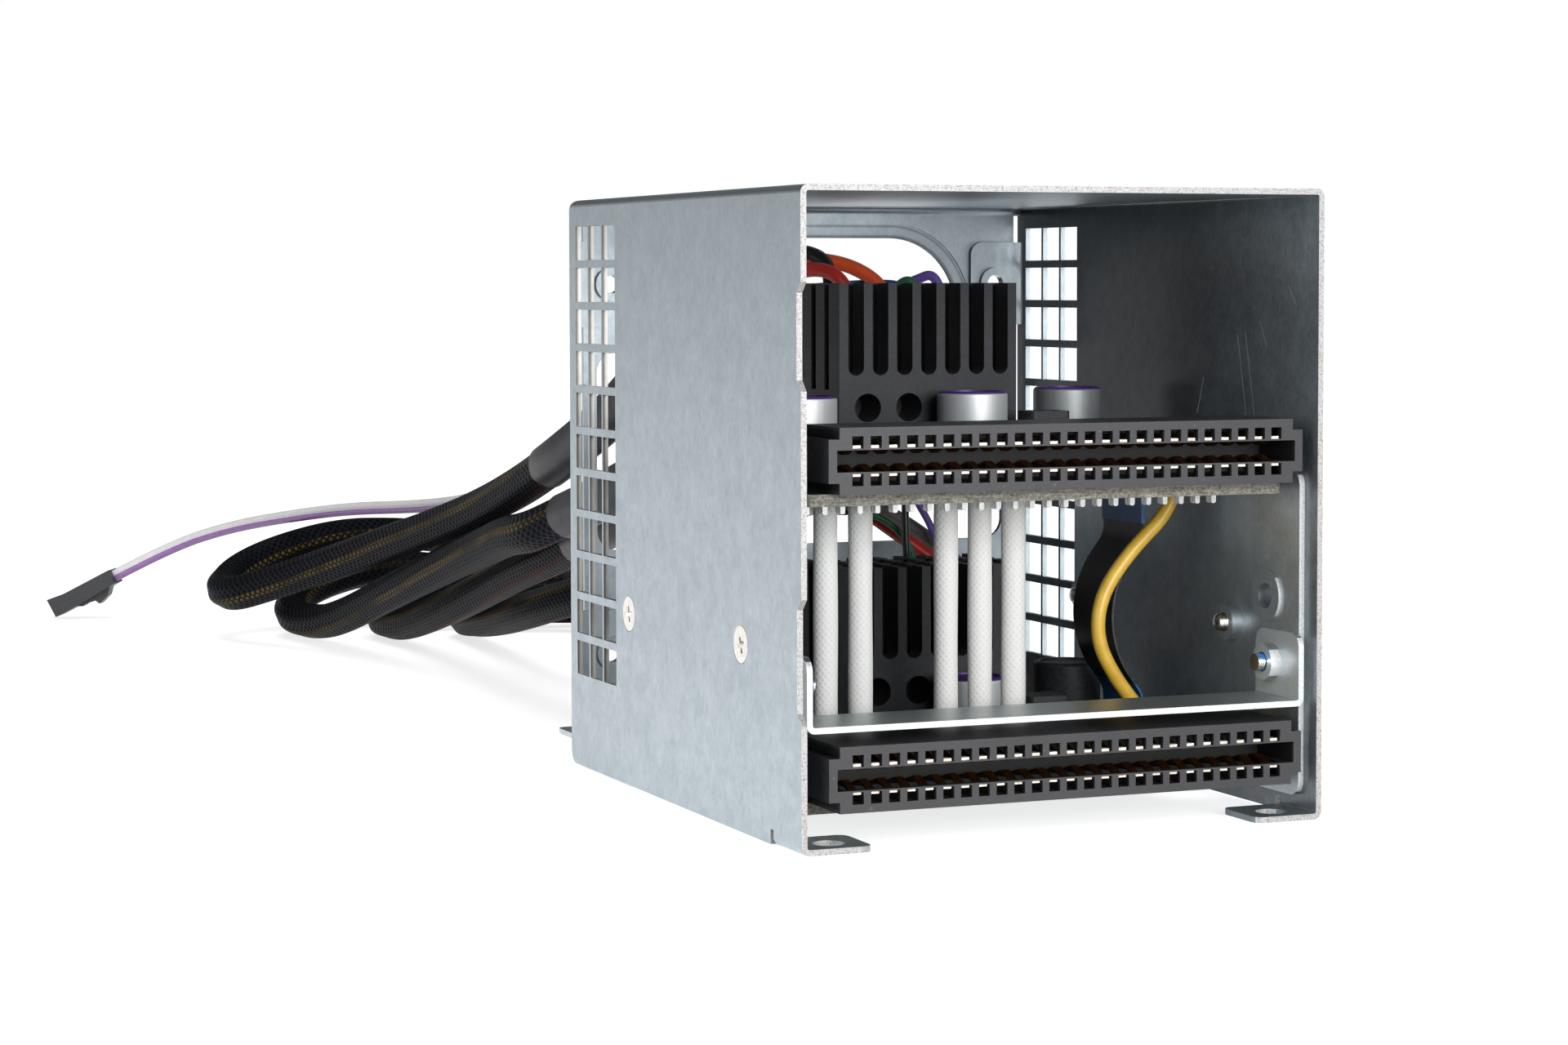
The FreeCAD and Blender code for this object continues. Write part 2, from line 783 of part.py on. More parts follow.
def make_tails(level):
    """Soldered ends of the contacts under the board, rounded off at their tips."""
    centre = socket_centre(level)
    top = board_bottoms[level]
    tails = []
    for tail_y in tail_rows:
        front = back(tail_y) - tail_thickness / 2
        for x in contact_places():
            left = centre.x + x - tail_width / 2
            tails.append(slab_along_y(front, front + tail_thickness, [
                (left, top, 0),
                (left + tail_width, top, 0),
                (left + tail_width, top - tail_length, tail_end_radius),
                (left, top - tail_length, tail_end_radius),
            ]))
    return tails


def make_contacts(level):
    """Two rows of spring contacts: legs down to the board behind the housing, soldered ends below it."""
    centre = socket_centre(level)
    contacts = make_tails(level)
    for side, tail_y in zip((-1, 1), tail_rows):
        corners = strip_corners(contact_path(centre, side, tail_y), contact_thickness)
        for x in contact_places():
            start = centre.x + x - contact_width / 2
            contacts.append(slab_along_x(start, start + contact_width, corners))
    return Part.makeCompound(contacts)


def make_heat_sink(level):
    """Pin-fin heat sink: round-bottomed slots front to rear, cross slots, two screw holes in front."""
    left = sink_shifts[level] - sink_width / 2
    front = back(sink_front)
    base = board_tops[level]
    top = base + sink_height
    body = block(left, left + sink_width, front, front + sink_depth, base, top)
    cuts = []
    first_slot = left + sink_width / 2 - fin_slot_pitch * (fin_slots - 1) / 2
    floor_z = base + fin_slot_bottom + fin_slot_width / 2
    for index in range(fin_slots):
        middle = first_slot + index * fin_slot_pitch
        cuts.append(block(middle - fin_slot_width / 2, middle + fin_slot_width / 2,
                          front - overshoot, front + sink_depth + overshoot, floor_z, top + overshoot))
        cuts.append(rod(Vector(middle, front - overshoot, floor_z),
                        Vector(middle, front + sink_depth + overshoot, floor_z), fin_slot_width / 2))
    for index in range(cross_slots):
        start = front + cross_slot_front + index * cross_slot_pitch
        cuts.append(block(left - overshoot, left + sink_width + overshoot, start, start + cross_slot_width,
                          base + cross_slot_bottom, top + overshoot))
    for offset in sink_holes:
        mouth = Vector(left + offset, front, base + sink_hole_height)
        bottom = mouth + Vector(0, sink_hole_depth, 0)
        cuts.append(rod(mouth - Vector(0, overshoot, 0), bottom, sink_hole_radius))
    return body.cut(cuts).removeSplitter()


def make_capacitor(level, column, row):
    """Aluminium can turned about its axis: a rolled neck near the foot, a round shoulder and a dished top."""
    foot = Vector(column, back(row), board_tops[level])
    neck_half = capacitor_neck_width / 2
    dish_radius = capacitor_radius - capacitor_rim_width
    dish_bottom = capacitor_height - capacitor_dish_depth
    profile = [
        (0, 0, 0),
        (capacitor_radius, 0, 0),
        (capacitor_radius, capacitor_neck_height - neck_half, 0),
        (capacitor_radius - capacitor_neck_depth, capacitor_neck_height, capacitor_neck_depth),
        (capacitor_radius, capacitor_neck_height + neck_half, 0),
        (capacitor_radius, capacitor_height, capacitor_edge),
        (dish_radius, capacitor_height, 0),
        (dish_radius, dish_bottom, 0),
        (0, dish_bottom, 0),
    ]
    wire = rounded_wire([(foot + Vector(out, 0, up), radius) for out, up, radius in profile])
    return Part.Face(wire).revolve(foot, Vector(0, 0, 1), 360)


def make_strap(level):
    """Tinned staple that carries the ferrite bar."""
    x = ferrite_beside_middle
    y = back(ferrite_back)
    base = board_tops[level]
    leg = (strap_width - strap_thickness) / 2
    crown = base + strap_height - strap_thickness / 2
    path = [(x - leg, base, 0), (x - leg, crown, 0), (x + leg, crown, 0), (x + leg, base, 0)]
    return slab_along_y(y - strap_depth / 2, y + strap_depth / 2, strip_corners(path, strap_thickness))


def make_ferrite(level):
    x = ferrite_beside_middle
    y = back(ferrite_back)
    base = board_tops[level] + strap_height
    return slab_along_z(base, base + ferrite_height, [
        (x - ferrite_width / 2, y - ferrite_depth / 2, strap_thickness),
        (x + ferrite_width / 2, y - ferrite_depth / 2, strap_thickness),
        (x + ferrite_width / 2, y + ferrite_depth / 2, strap_thickness),
        (x - ferrite_width / 2, y + ferrite_depth / 2, strap_thickness),
    ])


def flex_x():
    return half_width - flex_from_right


def flex_mouths():
    """Heights of the two flat-cable socket mouths, upper then lower."""
    return upper_board_bottom - flex_socket_height, board_tops["lower"] + flex_socket_height


def make_flex_jumper():
    """Flat jumper that bows into the cage between its two sockets, with a stiff strip at each end."""
    upper, lower = flex_mouths()
    middle = (upper + lower) / 2
    x = flex_x()
    path = [
        (x, upper + flex_in_socket, 0),
        (x, upper - flex_end_length, flex_end_radius),
        (x - flex_bulge, middle, flex_bulge_radius),
        (x, lower + flex_end_length, flex_end_radius),
        (x, lower - flex_in_socket, 0),
    ]
    front = back(flex_front)
    rear = back(flex_front + flex_width)
    strip = slab_along_y(front, rear, strip_corners(path, flex_thickness))
    face = x - flex_thickness / 2
    stiffeners = [block(face - stiffener_thickness, face, front, rear, low, low + stiffener_length)
                  for low in (upper - stiffener_length, lower)]
    return strip.fuse(stiffeners)


def make_flex_socket(level):
    """Flat-cable socket with a slot for the jumper's end and a locking bar along its mouth."""
    upper, lower = flex_mouths()
    low, high = (upper, upper_board_bottom) if level == "upper" else (board_tops["lower"], lower)
    x = flex_x()
    front = back(flex_front - flex_socket_margin)
    rear = back(flex_front + flex_width + flex_socket_margin)
    body = block(x - flex_socket_width / 2, x + flex_socket_width / 2, front, rear, low, high)
    slot_half = flex_thickness / 2 + flex_slot_clearance
    depth = flex_in_socket + flex_slot_clearance
    if level == "upper":
        slot_low, slot_high = low - overshoot, low + depth
        latch_low = low
    else:
        slot_low, slot_high = high - depth, high + overshoot
        latch_low = high - latch_height
    slot = block(x - slot_half, x + slot_half, back(flex_front) - flex_slot_clearance,
                 back(flex_front + flex_width) + flex_slot_clearance, slot_low, slot_high)
    latch_right = x - flex_socket_width / 2
    latch = block(latch_right - latch_width, latch_right, front, rear, latch_low, latch_low + latch_height)
    return body.cut(slot).fuse(latch)


def make_link_lead(column):
    """Sleeved lead that stands between the two boards."""
    foot = Vector(column, back(sleeve_back), board_tops["lower"])
    return rod(foot, Vector(foot.x, foot.y, upper_board_bottom), sleeve_radius)


def make_plug(columns, place, heading):
    """Two-row plug at a cable's end: cells in its mating face and a latch lever on top."""
    width = columns * plug_pitch + 2 * plug_wall
    middle = place.z
    body = slab_along_x(0, plug_length, [
        (-width / 2, middle - plug_height / 2, plug_wall),
        (width / 2, middle - plug_height / 2, plug_wall),
        (width / 2, middle + plug_height / 2, plug_wall),
        (-width / 2, middle + plug_height / 2, plug_wall),
    ])
    lever = slab_along_y(-plug_latch_width / 2, plug_latch_width / 2, [
        (plug_length - plug_latch_length, middle + plug_height / 2 - plug_wall, 0),
        (plug_length, middle + plug_height / 2 - plug_wall, 0),
        (plug_length, middle + plug_height / 2 + plug_latch_height, 0),
        (plug_length - plug_latch_height, middle + plug_height / 2 + plug_latch_height, 0),
        (plug_length - plug_latch_height, middle + plug_height / 2 + plug_wall, 0),
        (plug_length - plug_latch_length, middle + plug_height / 2 + plug_wall, 0),
    ])
    cells = []
    for column in range(columns):
        y = (column - (columns - 1) / 2) * plug_pitch
        for row in (-0.5, 0.5):
            z = middle + row * plug_pitch
            cells.append(block(plug_length - plug_cell_depth, plug_length + overshoot, y - plug_cell / 2,
                               y + plug_cell / 2, z - plug_cell / 2, z + plug_cell / 2))
    plug = body.fuse(lever).cut(cells).removeSplitter()
    plug.rotate(Vector(0, 0, 0), Vector(0, 0, 1), math.degrees(math.atan2(heading.y, heading.x)))
    plug.translate(Vector(place.x, place.y, 0))
    return plug


def make_signal_plug(place, heading):
    """Small latch plug at the signal cable's end, resting on its mouth with the latch underneath."""
    body = slab_along_y(-signal_plug_width / 2, signal_plug_width / 2, [
        (0, -signal_neck_rise, 0),
        (signal_neck_length, -signal_mouth_rise, 0),
        (signal_plug_length, -signal_mouth_rise, 0),
        (signal_plug_length, signal_mouth_rise, 0),
        (signal_neck_length, signal_neck_rise, 0),
        (0, signal_neck_rise, 0),
    ])
    under = [(along, -drop, 0) for along, drop in signal_latch_outline]
    inside = [(under[-1][0], 0, 0), (under[0][0], 0, 0)]
    latch = slab_along_y(-signal_latch_width / 2, signal_latch_width / 2, under + inside)
    cells = []
    for side in (-0.5, 0.5):
        left = side * signal_cell_pitch - signal_cell / 2
        cells.append(block(signal_plug_length - signal_cell_depth, signal_plug_length + overshoot,
                           left, left + signal_cell, -signal_cell / 2, signal_cell / 2))
    plug = body.fuse(latch).cut(cells).removeSplitter()
    flat = math.hypot(heading.x, heading.y)
    plug.rotate(Vector(0, 0, 0), Vector(0, 1, 0), math.degrees(math.atan2(-heading.z, flat)))
    plug.rotate(Vector(0, 0, 0), Vector(0, 0, 1), math.degrees(math.atan2(heading.y, heading.x)))
    plug.translate(place)
    return plug


# Routes of the leads that the cage holds, each from a board to a cable's sleeve or to the other board.
held_routes = {
    "yellow_lead": (yellow_lead_radius, [
        (29.0, -27.0, upper_board_bottom), (29.0, -27.0, 41.0), (23.4, -27.0, 35.0), (19.0, -27.0, 29.0),
        (18.2, -27.0, 23.0), (20.2, -27.0, 17.6), (24.6, -27.0, 11.6), (28.4, -27.0, 8.4),
        (28.4, -27.0, board_tops["lower"]),
    ]),
    "sense_lead_black": (sense_lead_radius, [
        (8.0, 18.0, upper_board_bottom), (8.0, 18.0, 37.0), (8.7, 18.3, 25.0), (8.0, 18.0, 12.0),
        (8.0, 18.0, board_tops["lower"]),
    ]),
    "sense_lead_green": (sense_lead_radius, [
        (-4.0, 21.0, upper_board_bottom), (-4.0, 21.0, 41.0), (0.0, 21.0, 38.6), (6.0, 21.0, 37.0),
        (10.2, 21.0, 33.0), (12.4, 21.0, 26.0), (13.2, 21.0, 16.0), (13.2, 21.0, board_tops["lower"]),
    ]),
    "sense_lead_purple": (sense_lead_radius, [
        (10.8, 22.5, upper_board_bottom), (10.8, 22.5, 41.0), (15.2, 22.5, 34.4), (17.4, 22.5, 25.0),
        (18.4, 22.5, 15.0), (18.4, 22.5, board_tops["lower"]),
    ]),
    "black_lead": (lead_radius, [
        (-4.0, 20.0, board_tops["upper"]), (-4.0, 20.0, 56.0), (-5.0, 22.0, 69.0), (-7.4, 25.6, 75.4),
        (-9.9, 31.0, 75.2), (-9.9, 37.0, 75.2),
    ]),
    "red_lead": (lead_radius, [
        (2.0, 19.0, board_tops["upper"]), (2.0, 19.0, 56.0), (1.0, 21.0, 68.0), (-2.4, 25.0, 75.0),
        (-8.0, 31.0, 76.4), (-8.0, 37.0, 76.4),
    ]),
    "orange_lead": (lead_radius, [
        (8.0, 20.0, board_tops["upper"]), (8.0, 20.0, 56.0), (6.6, 22.0, 67.0), (2.4, 25.6, 73.0),
        (-5.8, 31.0, 75.0), (-5.8, 37.0, 75.0),
    ]),
    "green_lead": (signal_lead_radius, [
        (13.0, 22.0, board_tops["upper"]), (13.0, 22.0, 58.0), (12.0, 23.6, 67.6), (6.0, 27.4, 72.4),
        (-6.2, 31.0, 72.4), (-6.2, 37.0, 72.4),
    ]),
    "blue_lead": (signal_lead_radius, [
        (10.4, 19.0, board_tops["upper"]), (10.4, 19.0, 57.0), (10.4, 20.8, 66.0), (7.4, 26.6, 69.4),
        (-8.4, 31.0, 71.2), (-8.4, 37.0, 71.2),
    ]),
    "signal_lead": (signal_lead_radius, [
        (16.4, 22.0, board_tops["upper"]), (16.4, 22.0, 59.0), (16.2, 24.0, 69.0), (12.8, 27.6, 73.4),
        (4.52, 33.0, 69.1), (2.0, 40.0, 67.0),
    ]),
    "lower_black_lead": (lead_radius, [
        (-8.0, 18.6, board_tops["lower"]), (-8.0, 18.6, 20.0), (-9.6, 21.0, 32.0), (-13.0, 25.4, 41.6),
        (-16.0, 31.0, 46.0), (-16.0, 37.0, 46.0),
    ]),
    "lower_red_lead": (lead_radius, [
        (21.0, 19.0, board_tops["lower"]), (21.0, 19.0, 17.0), (17.4, 22.0, 28.4), (9.4, 25.4, 34.6),
        (-4.0, 30.6, 45.0), (-4.0, 37.0, 45.0),
    ]),
    "lower_grey_lead": (lead_radius, [
        (25.0, 20.0, board_tops["lower"]), (25.0, 20.0, 16.0), (22.6, 22.6, 26.4), (16.0, 26.6, 33.4),
        (6.0, 31.0, 40.0), (6.0, 37.0, 40.0),
    ]),
}

# Output cables: a heat-shrink sleeve out of the rear opening, then the braided cable to its plug.
# A sleeve's last run and its cable's first run are in line, so their ends meet face to face.
cable_routes = {
    "a": {
        "shrink": [
            (-8.0, 37.0, 74.0), (-8.0, 49.0, 74.0), (-11.0, 59.4, 68.8), (-18.8, 68.4, 55.3),
            (-25.4, 79.9, 47.0), (-25.4, 91.4, 43.7),
        ],
        "cable": [
            (-25.4, 91.4, 43.7), (-25.4, 102.9, 40.4), (-25.0, 120.0, 35.8), (-25.7, 140.0, 30.6),
            (-29.1, 172.0, 23.4), (-35.2, 198.0, 16.7), (-42.0, 215.4, 12.8), (-47.6, 226.4, 11.0),
            (-47.8, 237.0, 11.8), (-41.4, 244.6, 13.8), (-31.6, 248.4, 16.2), (-18.0, 251.4, 18.5),
            (-5.0, 255.0, 16.4), (5.0, 258.6, 11.4), (15.0, 262.0, 6.8), (25.0, 264.0, 4.9),
            (34.0, 264.0, 4.9),
        ],
        "columns": 4,
    },
    "b": {
        "shrink": [
            (-16.0, 37.0, 46.0), (-16.0, 48.0, 46.0), (-19.4, 57.5, 42.0), (-24.6, 66.0, 36.4),
            (-27.4, 76.4, 33.0),
        ],
        "cable": [
            (-27.4, 76.4, 33.0), (-29.64, 84.72, 30.28), (-29.0, 98.0, 27.9), (-27.6, 114.0, 24.6),
            (-26.4, 140.0, 19.6), (-27.6, 178.0, 11.9), (-29.9, 206.0, 5.9), (-32.6, 220.0, 3.8),
            (-35.0, 229.4, 4.6), (-32.2, 238.0, 7.0), (-23.6, 242.6, 10.4), (-12.0, 245.0, 12.6),
            (0.0, 246.4, 11.8), (10.0, 246.0, 8.8), (19.0, 245.2, 6.2), (27.0, 244.6, 4.9),
            (34.0, 244.6, 4.9),
        ],
        "columns": 4,
    },
    "c": {
        "shrink": [
            (-4.0, 37.0, 45.0), (-4.0, 49.0, 45.0), (-9.0, 60.0, 40.2), (-14.6, 72.0, 34.2),
            (-18.2, 84.0, 28.8), (-18.2, 92.0, 26.8),
        ],
        "cable": [
            (-18.2, 92.0, 26.8), (-18.2, 104.0, 23.8), (-18.4, 122.0, 20.4), (-17.6, 146.0, 15.9),
            (-17.4, 173.0, 10.6), (-16.8, 200.0, 5.4), (-17.4, 213.0, 3.7), (-18.0, 222.2, 4.0),
            (-13.2, 230.0, 5.6), (-4.0, 233.0, 7.2), (6.0, 232.4, 7.0), (15.0, 230.0, 5.8),
            (24.0, 228.0, 4.9), (33.0, 228.0, 4.9),
        ],
        "columns": 3,
    },
    "d": {
        "shrink": [
            (6.0, 37.0, 40.0), (6.0, 49.0, 40.0), (4.2, 61.0, 36.2), (1.2, 78.0, 29.8),
            (-2.4, 95.0, 23.84), (-3.2, 103.0, 21.6),
        ],
        "cable": [
            (-3.2, 103.0, 21.6), (-4.2, 113.0, 18.8), (-7.2, 131.0, 15.7), (-7.4, 153.0, 11.6),
            (-3.4, 188.0, 6.4), (-2.2, 210.0, 3.8), (-1.4, 219.4, 3.9), (6.4, 224.6, 4.6),
            (15.8, 222.0, 4.9), (24.6, 217.0, 4.9),
        ],
        "columns": 3,
    },
}

signal_route = [
    (2.0, 40.0, 67.0), (-1.6, 50.0, 64.0), (-5.0, 76.0, 56.6), (-8.4, 106.0, 48.0), (-11.6, 138.0, 39.0),
    (-13.4, 166.0, 31.6), (-16.4, 196.0, 28.4), (-23.0, 226.0, 26.4), (-31.0, 249.0, 23.4),
    (-39.4, 266.4, 20.2), (-49.1, 278.8, 15.6), (-60.4, 284.0, 9.1),
]


def build_parts():
    """Every piece of the cage by its name."""
    parts = {
        "cover": make_cover(),
        "left_inner_plate": make_left_plate(),
        "right_inner_plate": make_right_plate(),
        "shelf_bracket": make_shelf(),
        "wall_screws": make_wall_screws(),
        "shelf_screws": make_shelf_screws(),
        "board_screws": make_board_screws(),
        "flex_jumper": make_flex_jumper(),
    }
    for level in board_bottoms:
        parts[level + "_board"] = make_board(level)
        parts[level + "_socket_housing"] = make_socket_housing(level)
        parts[level + "_socket_contacts"] = make_contacts(level)
        parts[level + "_heat_sink"] = make_heat_sink(level)
        parts[level + "_ferrite_strap"] = make_strap(level)
        parts[level + "_ferrite"] = make_ferrite(level)
        parts[level + "_flex_socket"] = make_flex_socket(level)
        for number, (column, row) in enumerate(zip(capacitor_columns, capacitor_rows), 1):
            parts["%s_capacitor_%d" % (level, number)] = make_capacitor(level, column, row)
    for number, column in enumerate(sleeve_columns, 1):
        parts["link_lead_%d" % number] = make_link_lead(column)
    for name, (radius, places) in held_routes.items():
        parts[name] = tube(name, places, radius)
    for letter, cable in cable_routes.items():
        parts["cable_%s_shrink" % letter] = tube("shrink " + letter, cable["shrink"], shrink_radius)
        parts["cable_" + letter] = tube("cable " + letter, cable["cable"], cable_radius)
        last, end = [Vector(*place) for place in cable["cable"][-2:]]
        parts["cable_%s_plug" % letter] = make_plug(cable["columns"], end, end - last)
    parts["signal_cable"] = tube("signal cable", signal_route, signal_cable_radius)
    last, end = [Vector(*place) for place in signal_route[-2:]]
    parts["signal_plug"] = make_signal_plug(end, end - last)
    return parts


os.makedirs("parts", exist_ok=True)
for name, shape in build_parts().items():
    shape.exportStep("parts/%s.step" % name)
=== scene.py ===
import bpy
import math
from mathutils import Euler, Matrix, Vector


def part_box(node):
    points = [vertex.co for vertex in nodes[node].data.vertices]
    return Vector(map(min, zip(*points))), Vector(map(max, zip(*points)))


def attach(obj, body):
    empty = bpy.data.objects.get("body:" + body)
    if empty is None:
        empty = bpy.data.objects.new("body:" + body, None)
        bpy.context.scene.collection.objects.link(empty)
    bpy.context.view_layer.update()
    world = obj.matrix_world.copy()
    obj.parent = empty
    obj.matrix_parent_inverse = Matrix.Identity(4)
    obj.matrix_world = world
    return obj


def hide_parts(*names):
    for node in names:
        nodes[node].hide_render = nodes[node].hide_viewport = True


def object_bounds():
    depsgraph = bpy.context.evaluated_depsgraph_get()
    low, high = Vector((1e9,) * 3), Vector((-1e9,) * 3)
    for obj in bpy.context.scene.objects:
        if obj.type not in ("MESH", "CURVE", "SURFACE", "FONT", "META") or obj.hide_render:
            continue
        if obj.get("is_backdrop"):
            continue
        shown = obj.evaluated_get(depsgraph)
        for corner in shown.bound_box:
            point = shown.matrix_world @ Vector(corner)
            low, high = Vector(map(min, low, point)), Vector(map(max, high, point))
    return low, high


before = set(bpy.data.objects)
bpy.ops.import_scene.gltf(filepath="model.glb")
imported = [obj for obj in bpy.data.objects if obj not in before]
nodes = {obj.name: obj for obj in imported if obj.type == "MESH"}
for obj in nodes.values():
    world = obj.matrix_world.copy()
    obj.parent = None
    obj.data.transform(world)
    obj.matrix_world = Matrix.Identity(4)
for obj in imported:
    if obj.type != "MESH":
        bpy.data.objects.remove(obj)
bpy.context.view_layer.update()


# Cover: one sheet of galvanised steel, punched, then folded to a top, two side walls and a rear panel.
# The zinc is grainy outside. Inside it is smoother, with scratches from modules pushed in, and it takes a
# darker copy as painted shade, painted lighter towards the walls' mouth. The front edges are sheared and
# specked with brown, the vents' hole walls carry painted shade, and the arch's rolled rim is painted shade
# round the opening.
def add_node(tree, kind, settings=None, **sockets):
    """One shader node. A socket goes by name, or by i and number, and takes a value or a node's output."""
    node = tree.nodes.new(kind)
    for name, setting in (settings or {}).items():
        setattr(node, name, setting)
    for name, given in sockets.items():
        numbered = name[0] == "i" and name[1:].isdigit()
        socket = node.inputs[int(name[1:])] if numbered else node.inputs[name.replace("_", " ")]
        if isinstance(given, bpy.types.NodeSocket):
            tree.links.new(given, socket)
        else:
            socket.default_value = given
    return node


def start_material(name):
    """Empty material, with its node tree, its shader and the place on the object in metres."""
    material = bpy.data.materials.new(name)
    material.use_nodes = True
    tree = material.node_tree
    place = add_node(tree, "ShaderNodeTexCoord").outputs["Object"]
    return material, tree, tree.nodes["Principled BSDF"], place


def outward_direction(tree):
    return add_node(tree, "ShaderNodeTexCoord").outputs["Normal"]


def axes(tree, vector):
    return add_node(tree, "ShaderNodeSeparateXYZ", i0=vector).outputs


def sums(tree, operation, *terms):
    """Result of a math node over one to three terms."""
    numbered = {"i%d" % number: term for number, term in enumerate(terms)}
    return add_node(tree, "ShaderNodeMath", {"operation": operation}, **numbered).outputs[0]


def above(tree, value, limit):
    return sums(tree, "GREATER_THAN", value, limit)


def below(tree, value, limit):
    return sums(tree, "LESS_THAN", value, limit)


def product(tree, first, *others):
    """Factors multiplied. A product of tests is 1 where all of them hold."""
    for other in others:
        first = sums(tree, "MULTIPLY", first, other)
    return first


def dot(tree, first, second):
    node = add_node(tree, "ShaderNodeVectorMath", {"operation": "DOT_PRODUCT"}, i0=first, i1=second)
    return node.outputs["Value"]


def mapped(tree, value, start, end, first, last):
    """Value carried from one range to another and held at its ends."""
    return add_node(tree, "ShaderNodeMapRange", Value=value, i1=start, i2=end, i3=first, i4=last).outputs[0]


def noise(tree, place, scale, detail=3.0, roughness=0.6):
    node = add_node(tree, "ShaderNodeTexNoise", Vector=place, Scale=scale, Detail=detail, Roughness=roughness)
    return node.outputs["Fac"]


def stretched(tree, place, scale):
    return add_node(tree, "ShaderNodeMapping", i0=place, i3=scale).outputs[0]


def ramp(tree, factor, *stops):
    """Colour ramp through (position, colour) stops."""
    node = add_node(tree, "ShaderNodeValToRGB", i0=factor)
    elements = node.color_ramp.elements
    while len(elements) < len(stops):
        elements.new(0.5)
    for element, (position, colour) in zip(elements, stops):
        element.position = position
        element.color = (*colour, 1.0)
    return node.outputs["Color"]


def blend(tree, factor, first, second):
    """Colour between two, each a colour or a node's output."""
    pair = [given if isinstance(given, bpy.types.NodeSocket) else (*given, 1.0) for given in (first, second)]
    node = add_node(tree, "ShaderNodeMix", {"data_type": "RGBA"}, i0=factor, i6=pair[0], i7=pair[1])
    return node.outputs[2]


def between(tree, factor, first, second):
    return add_node(tree, "ShaderNodeMix", {"data_type": "FLOAT"}, i0=factor, i2=first, i3=second).outputs[0]


def relief(tree, height, strength, depth=0.0001):
    return add_node(tree, "ShaderNodeBump", Strength=strength, Distance=depth, Height=height).outputs[0]


def coat(tree, shader, **sockets):
    """Sets or links the shader's sockets."""
    for name, given in sockets.items():
        socket = shader.inputs[name.replace("_", " ")]
        if isinstance(given, bpy.types.NodeSocket):
            tree.links.new(given, socket)
        else:
            socket.default_value = (*given, 1.0) if isinstance(given, tuple) else given


def dress(node_name, material):
    """Gives a CAD node its finish."""
    mesh = nodes[node_name].data
    mesh.materials.clear()
    mesh.materials.append(material)


# Past head_on a face looks along an axis, and under edge_on it is an edge of the sheet
head_on = 0.7
edge_on = 0.5
cage_middle = (0.0, -0.0065, 0.0425)
# The arch's opening in the rear panel, and the rim's painted shade by its share of the way out, in the
# painted shadow's colour
panel_front = 0.0365
arch_foot = 0.0500
arch_half_width = 0.0262
arch_top = 0.0795
arch_corner = 0.0115
rim_width = 0.004
rim_shade_stops = ((0.0, 0.75), (0.09, 0.62), (0.15, 0.18), (0.38, 0.10), (0.47, 0.55), (0.55, 0.0))
rim_shadow = (0.045, 0.047, 0.055)
# Scratches inside the right wall: y and z of the upper end, shift in y for each metre down, height
wall_scratches = (
    (-0.0305, 0.0652, -0.22, 0.0114),
    (-0.0327, 0.0655, -0.22, 0.0114),
    (-0.0365, 0.0672, -0.55, 0.0036),
    (-0.0440, 0.0722, -0.80, 0.0030),
    (-0.0210, 0.0590, 0.35, 0.0052),
)
scratch_half_width = 0.00009
scratched_from_x = 0.03
scratch_metal = (0.55, 0.58, 0.60)
# The left wall's vents, and the strip of folded sheet that is seen through them, which gets half the inner
# walls' painted shade
vent_sheet_x = -0.0371
vents_front, vents_rear = 0.012, 0.0362
strip_x, strip_y = -0.026, 0.030
# The walls' mouth from where its painted light starts, and the foremost sheared edges
mouth_light_start, mouth_light_end, mouth_light_most = -0.018, -0.050, 0.85
front_edge_y = -0.040


def rolled_rim_painted_shade(tree, x, y, z, normal_y):
    """Painted shade of the rolled rim and the opening's edge, by the distance from the opening."""
    from_side = sums(tree, "SUBTRACT", sums(tree, "ABSOLUTE", x), arch_half_width - arch_corner)
    from_top = sums(tree, "SUBTRACT", z, arch_top - arch_corner)
    squares = [sums(tree, "POWER", sums(tree, "MAXIMUM", part, 0.0), 2.0) for part in (from_side, from_top)]
    round_corner = sums(tree, "SQRT", sums(tree, "ADD", *squares))
    straight = sums(tree, "MINIMUM", sums(tree, "MAXIMUM", from_side, from_top), 0.0)
    past_arch = sums(tree, "SUBTRACT", sums(tree, "ADD", round_corner, straight), arch_corner)
    stops = [(share, (darkness, darkness, darkness)) for share, darkness in rim_shade_stops]
    shade = ramp(tree, product(tree, past_arch, 1.0 / rim_width), *stops)
    on_panel = product(tree, above(tree, y, panel_front), above(tree, z, arch_foot))
    return product(tree, on_panel, shade, below(tree, normal_y, edge_on))


def scratches(tree, x, y, z):
    """1 on the right wall's scratches, 0 elsewhere."""
    scratched = 0.0
    for top_y, top_z, shift, height in wall_scratches:
        drop = sums(tree, "SUBTRACT", top_z, z)
        line_y = sums(tree, "MULTIPLY_ADD", drop, shift, top_y)
        apart = sums(tree, "ABSOLUTE", sums(tree, "SUBTRACT", y, line_y))
        along = product(tree, above(tree, drop, 0.0), below(tree, drop, height))
        line = product(tree, along, below(tree, apart, scratch_half_width))
        scratched = sums(tree, "MAXIMUM", line, scratched)
    return product(tree, scratched, above(tree, x, scratched_from_x))


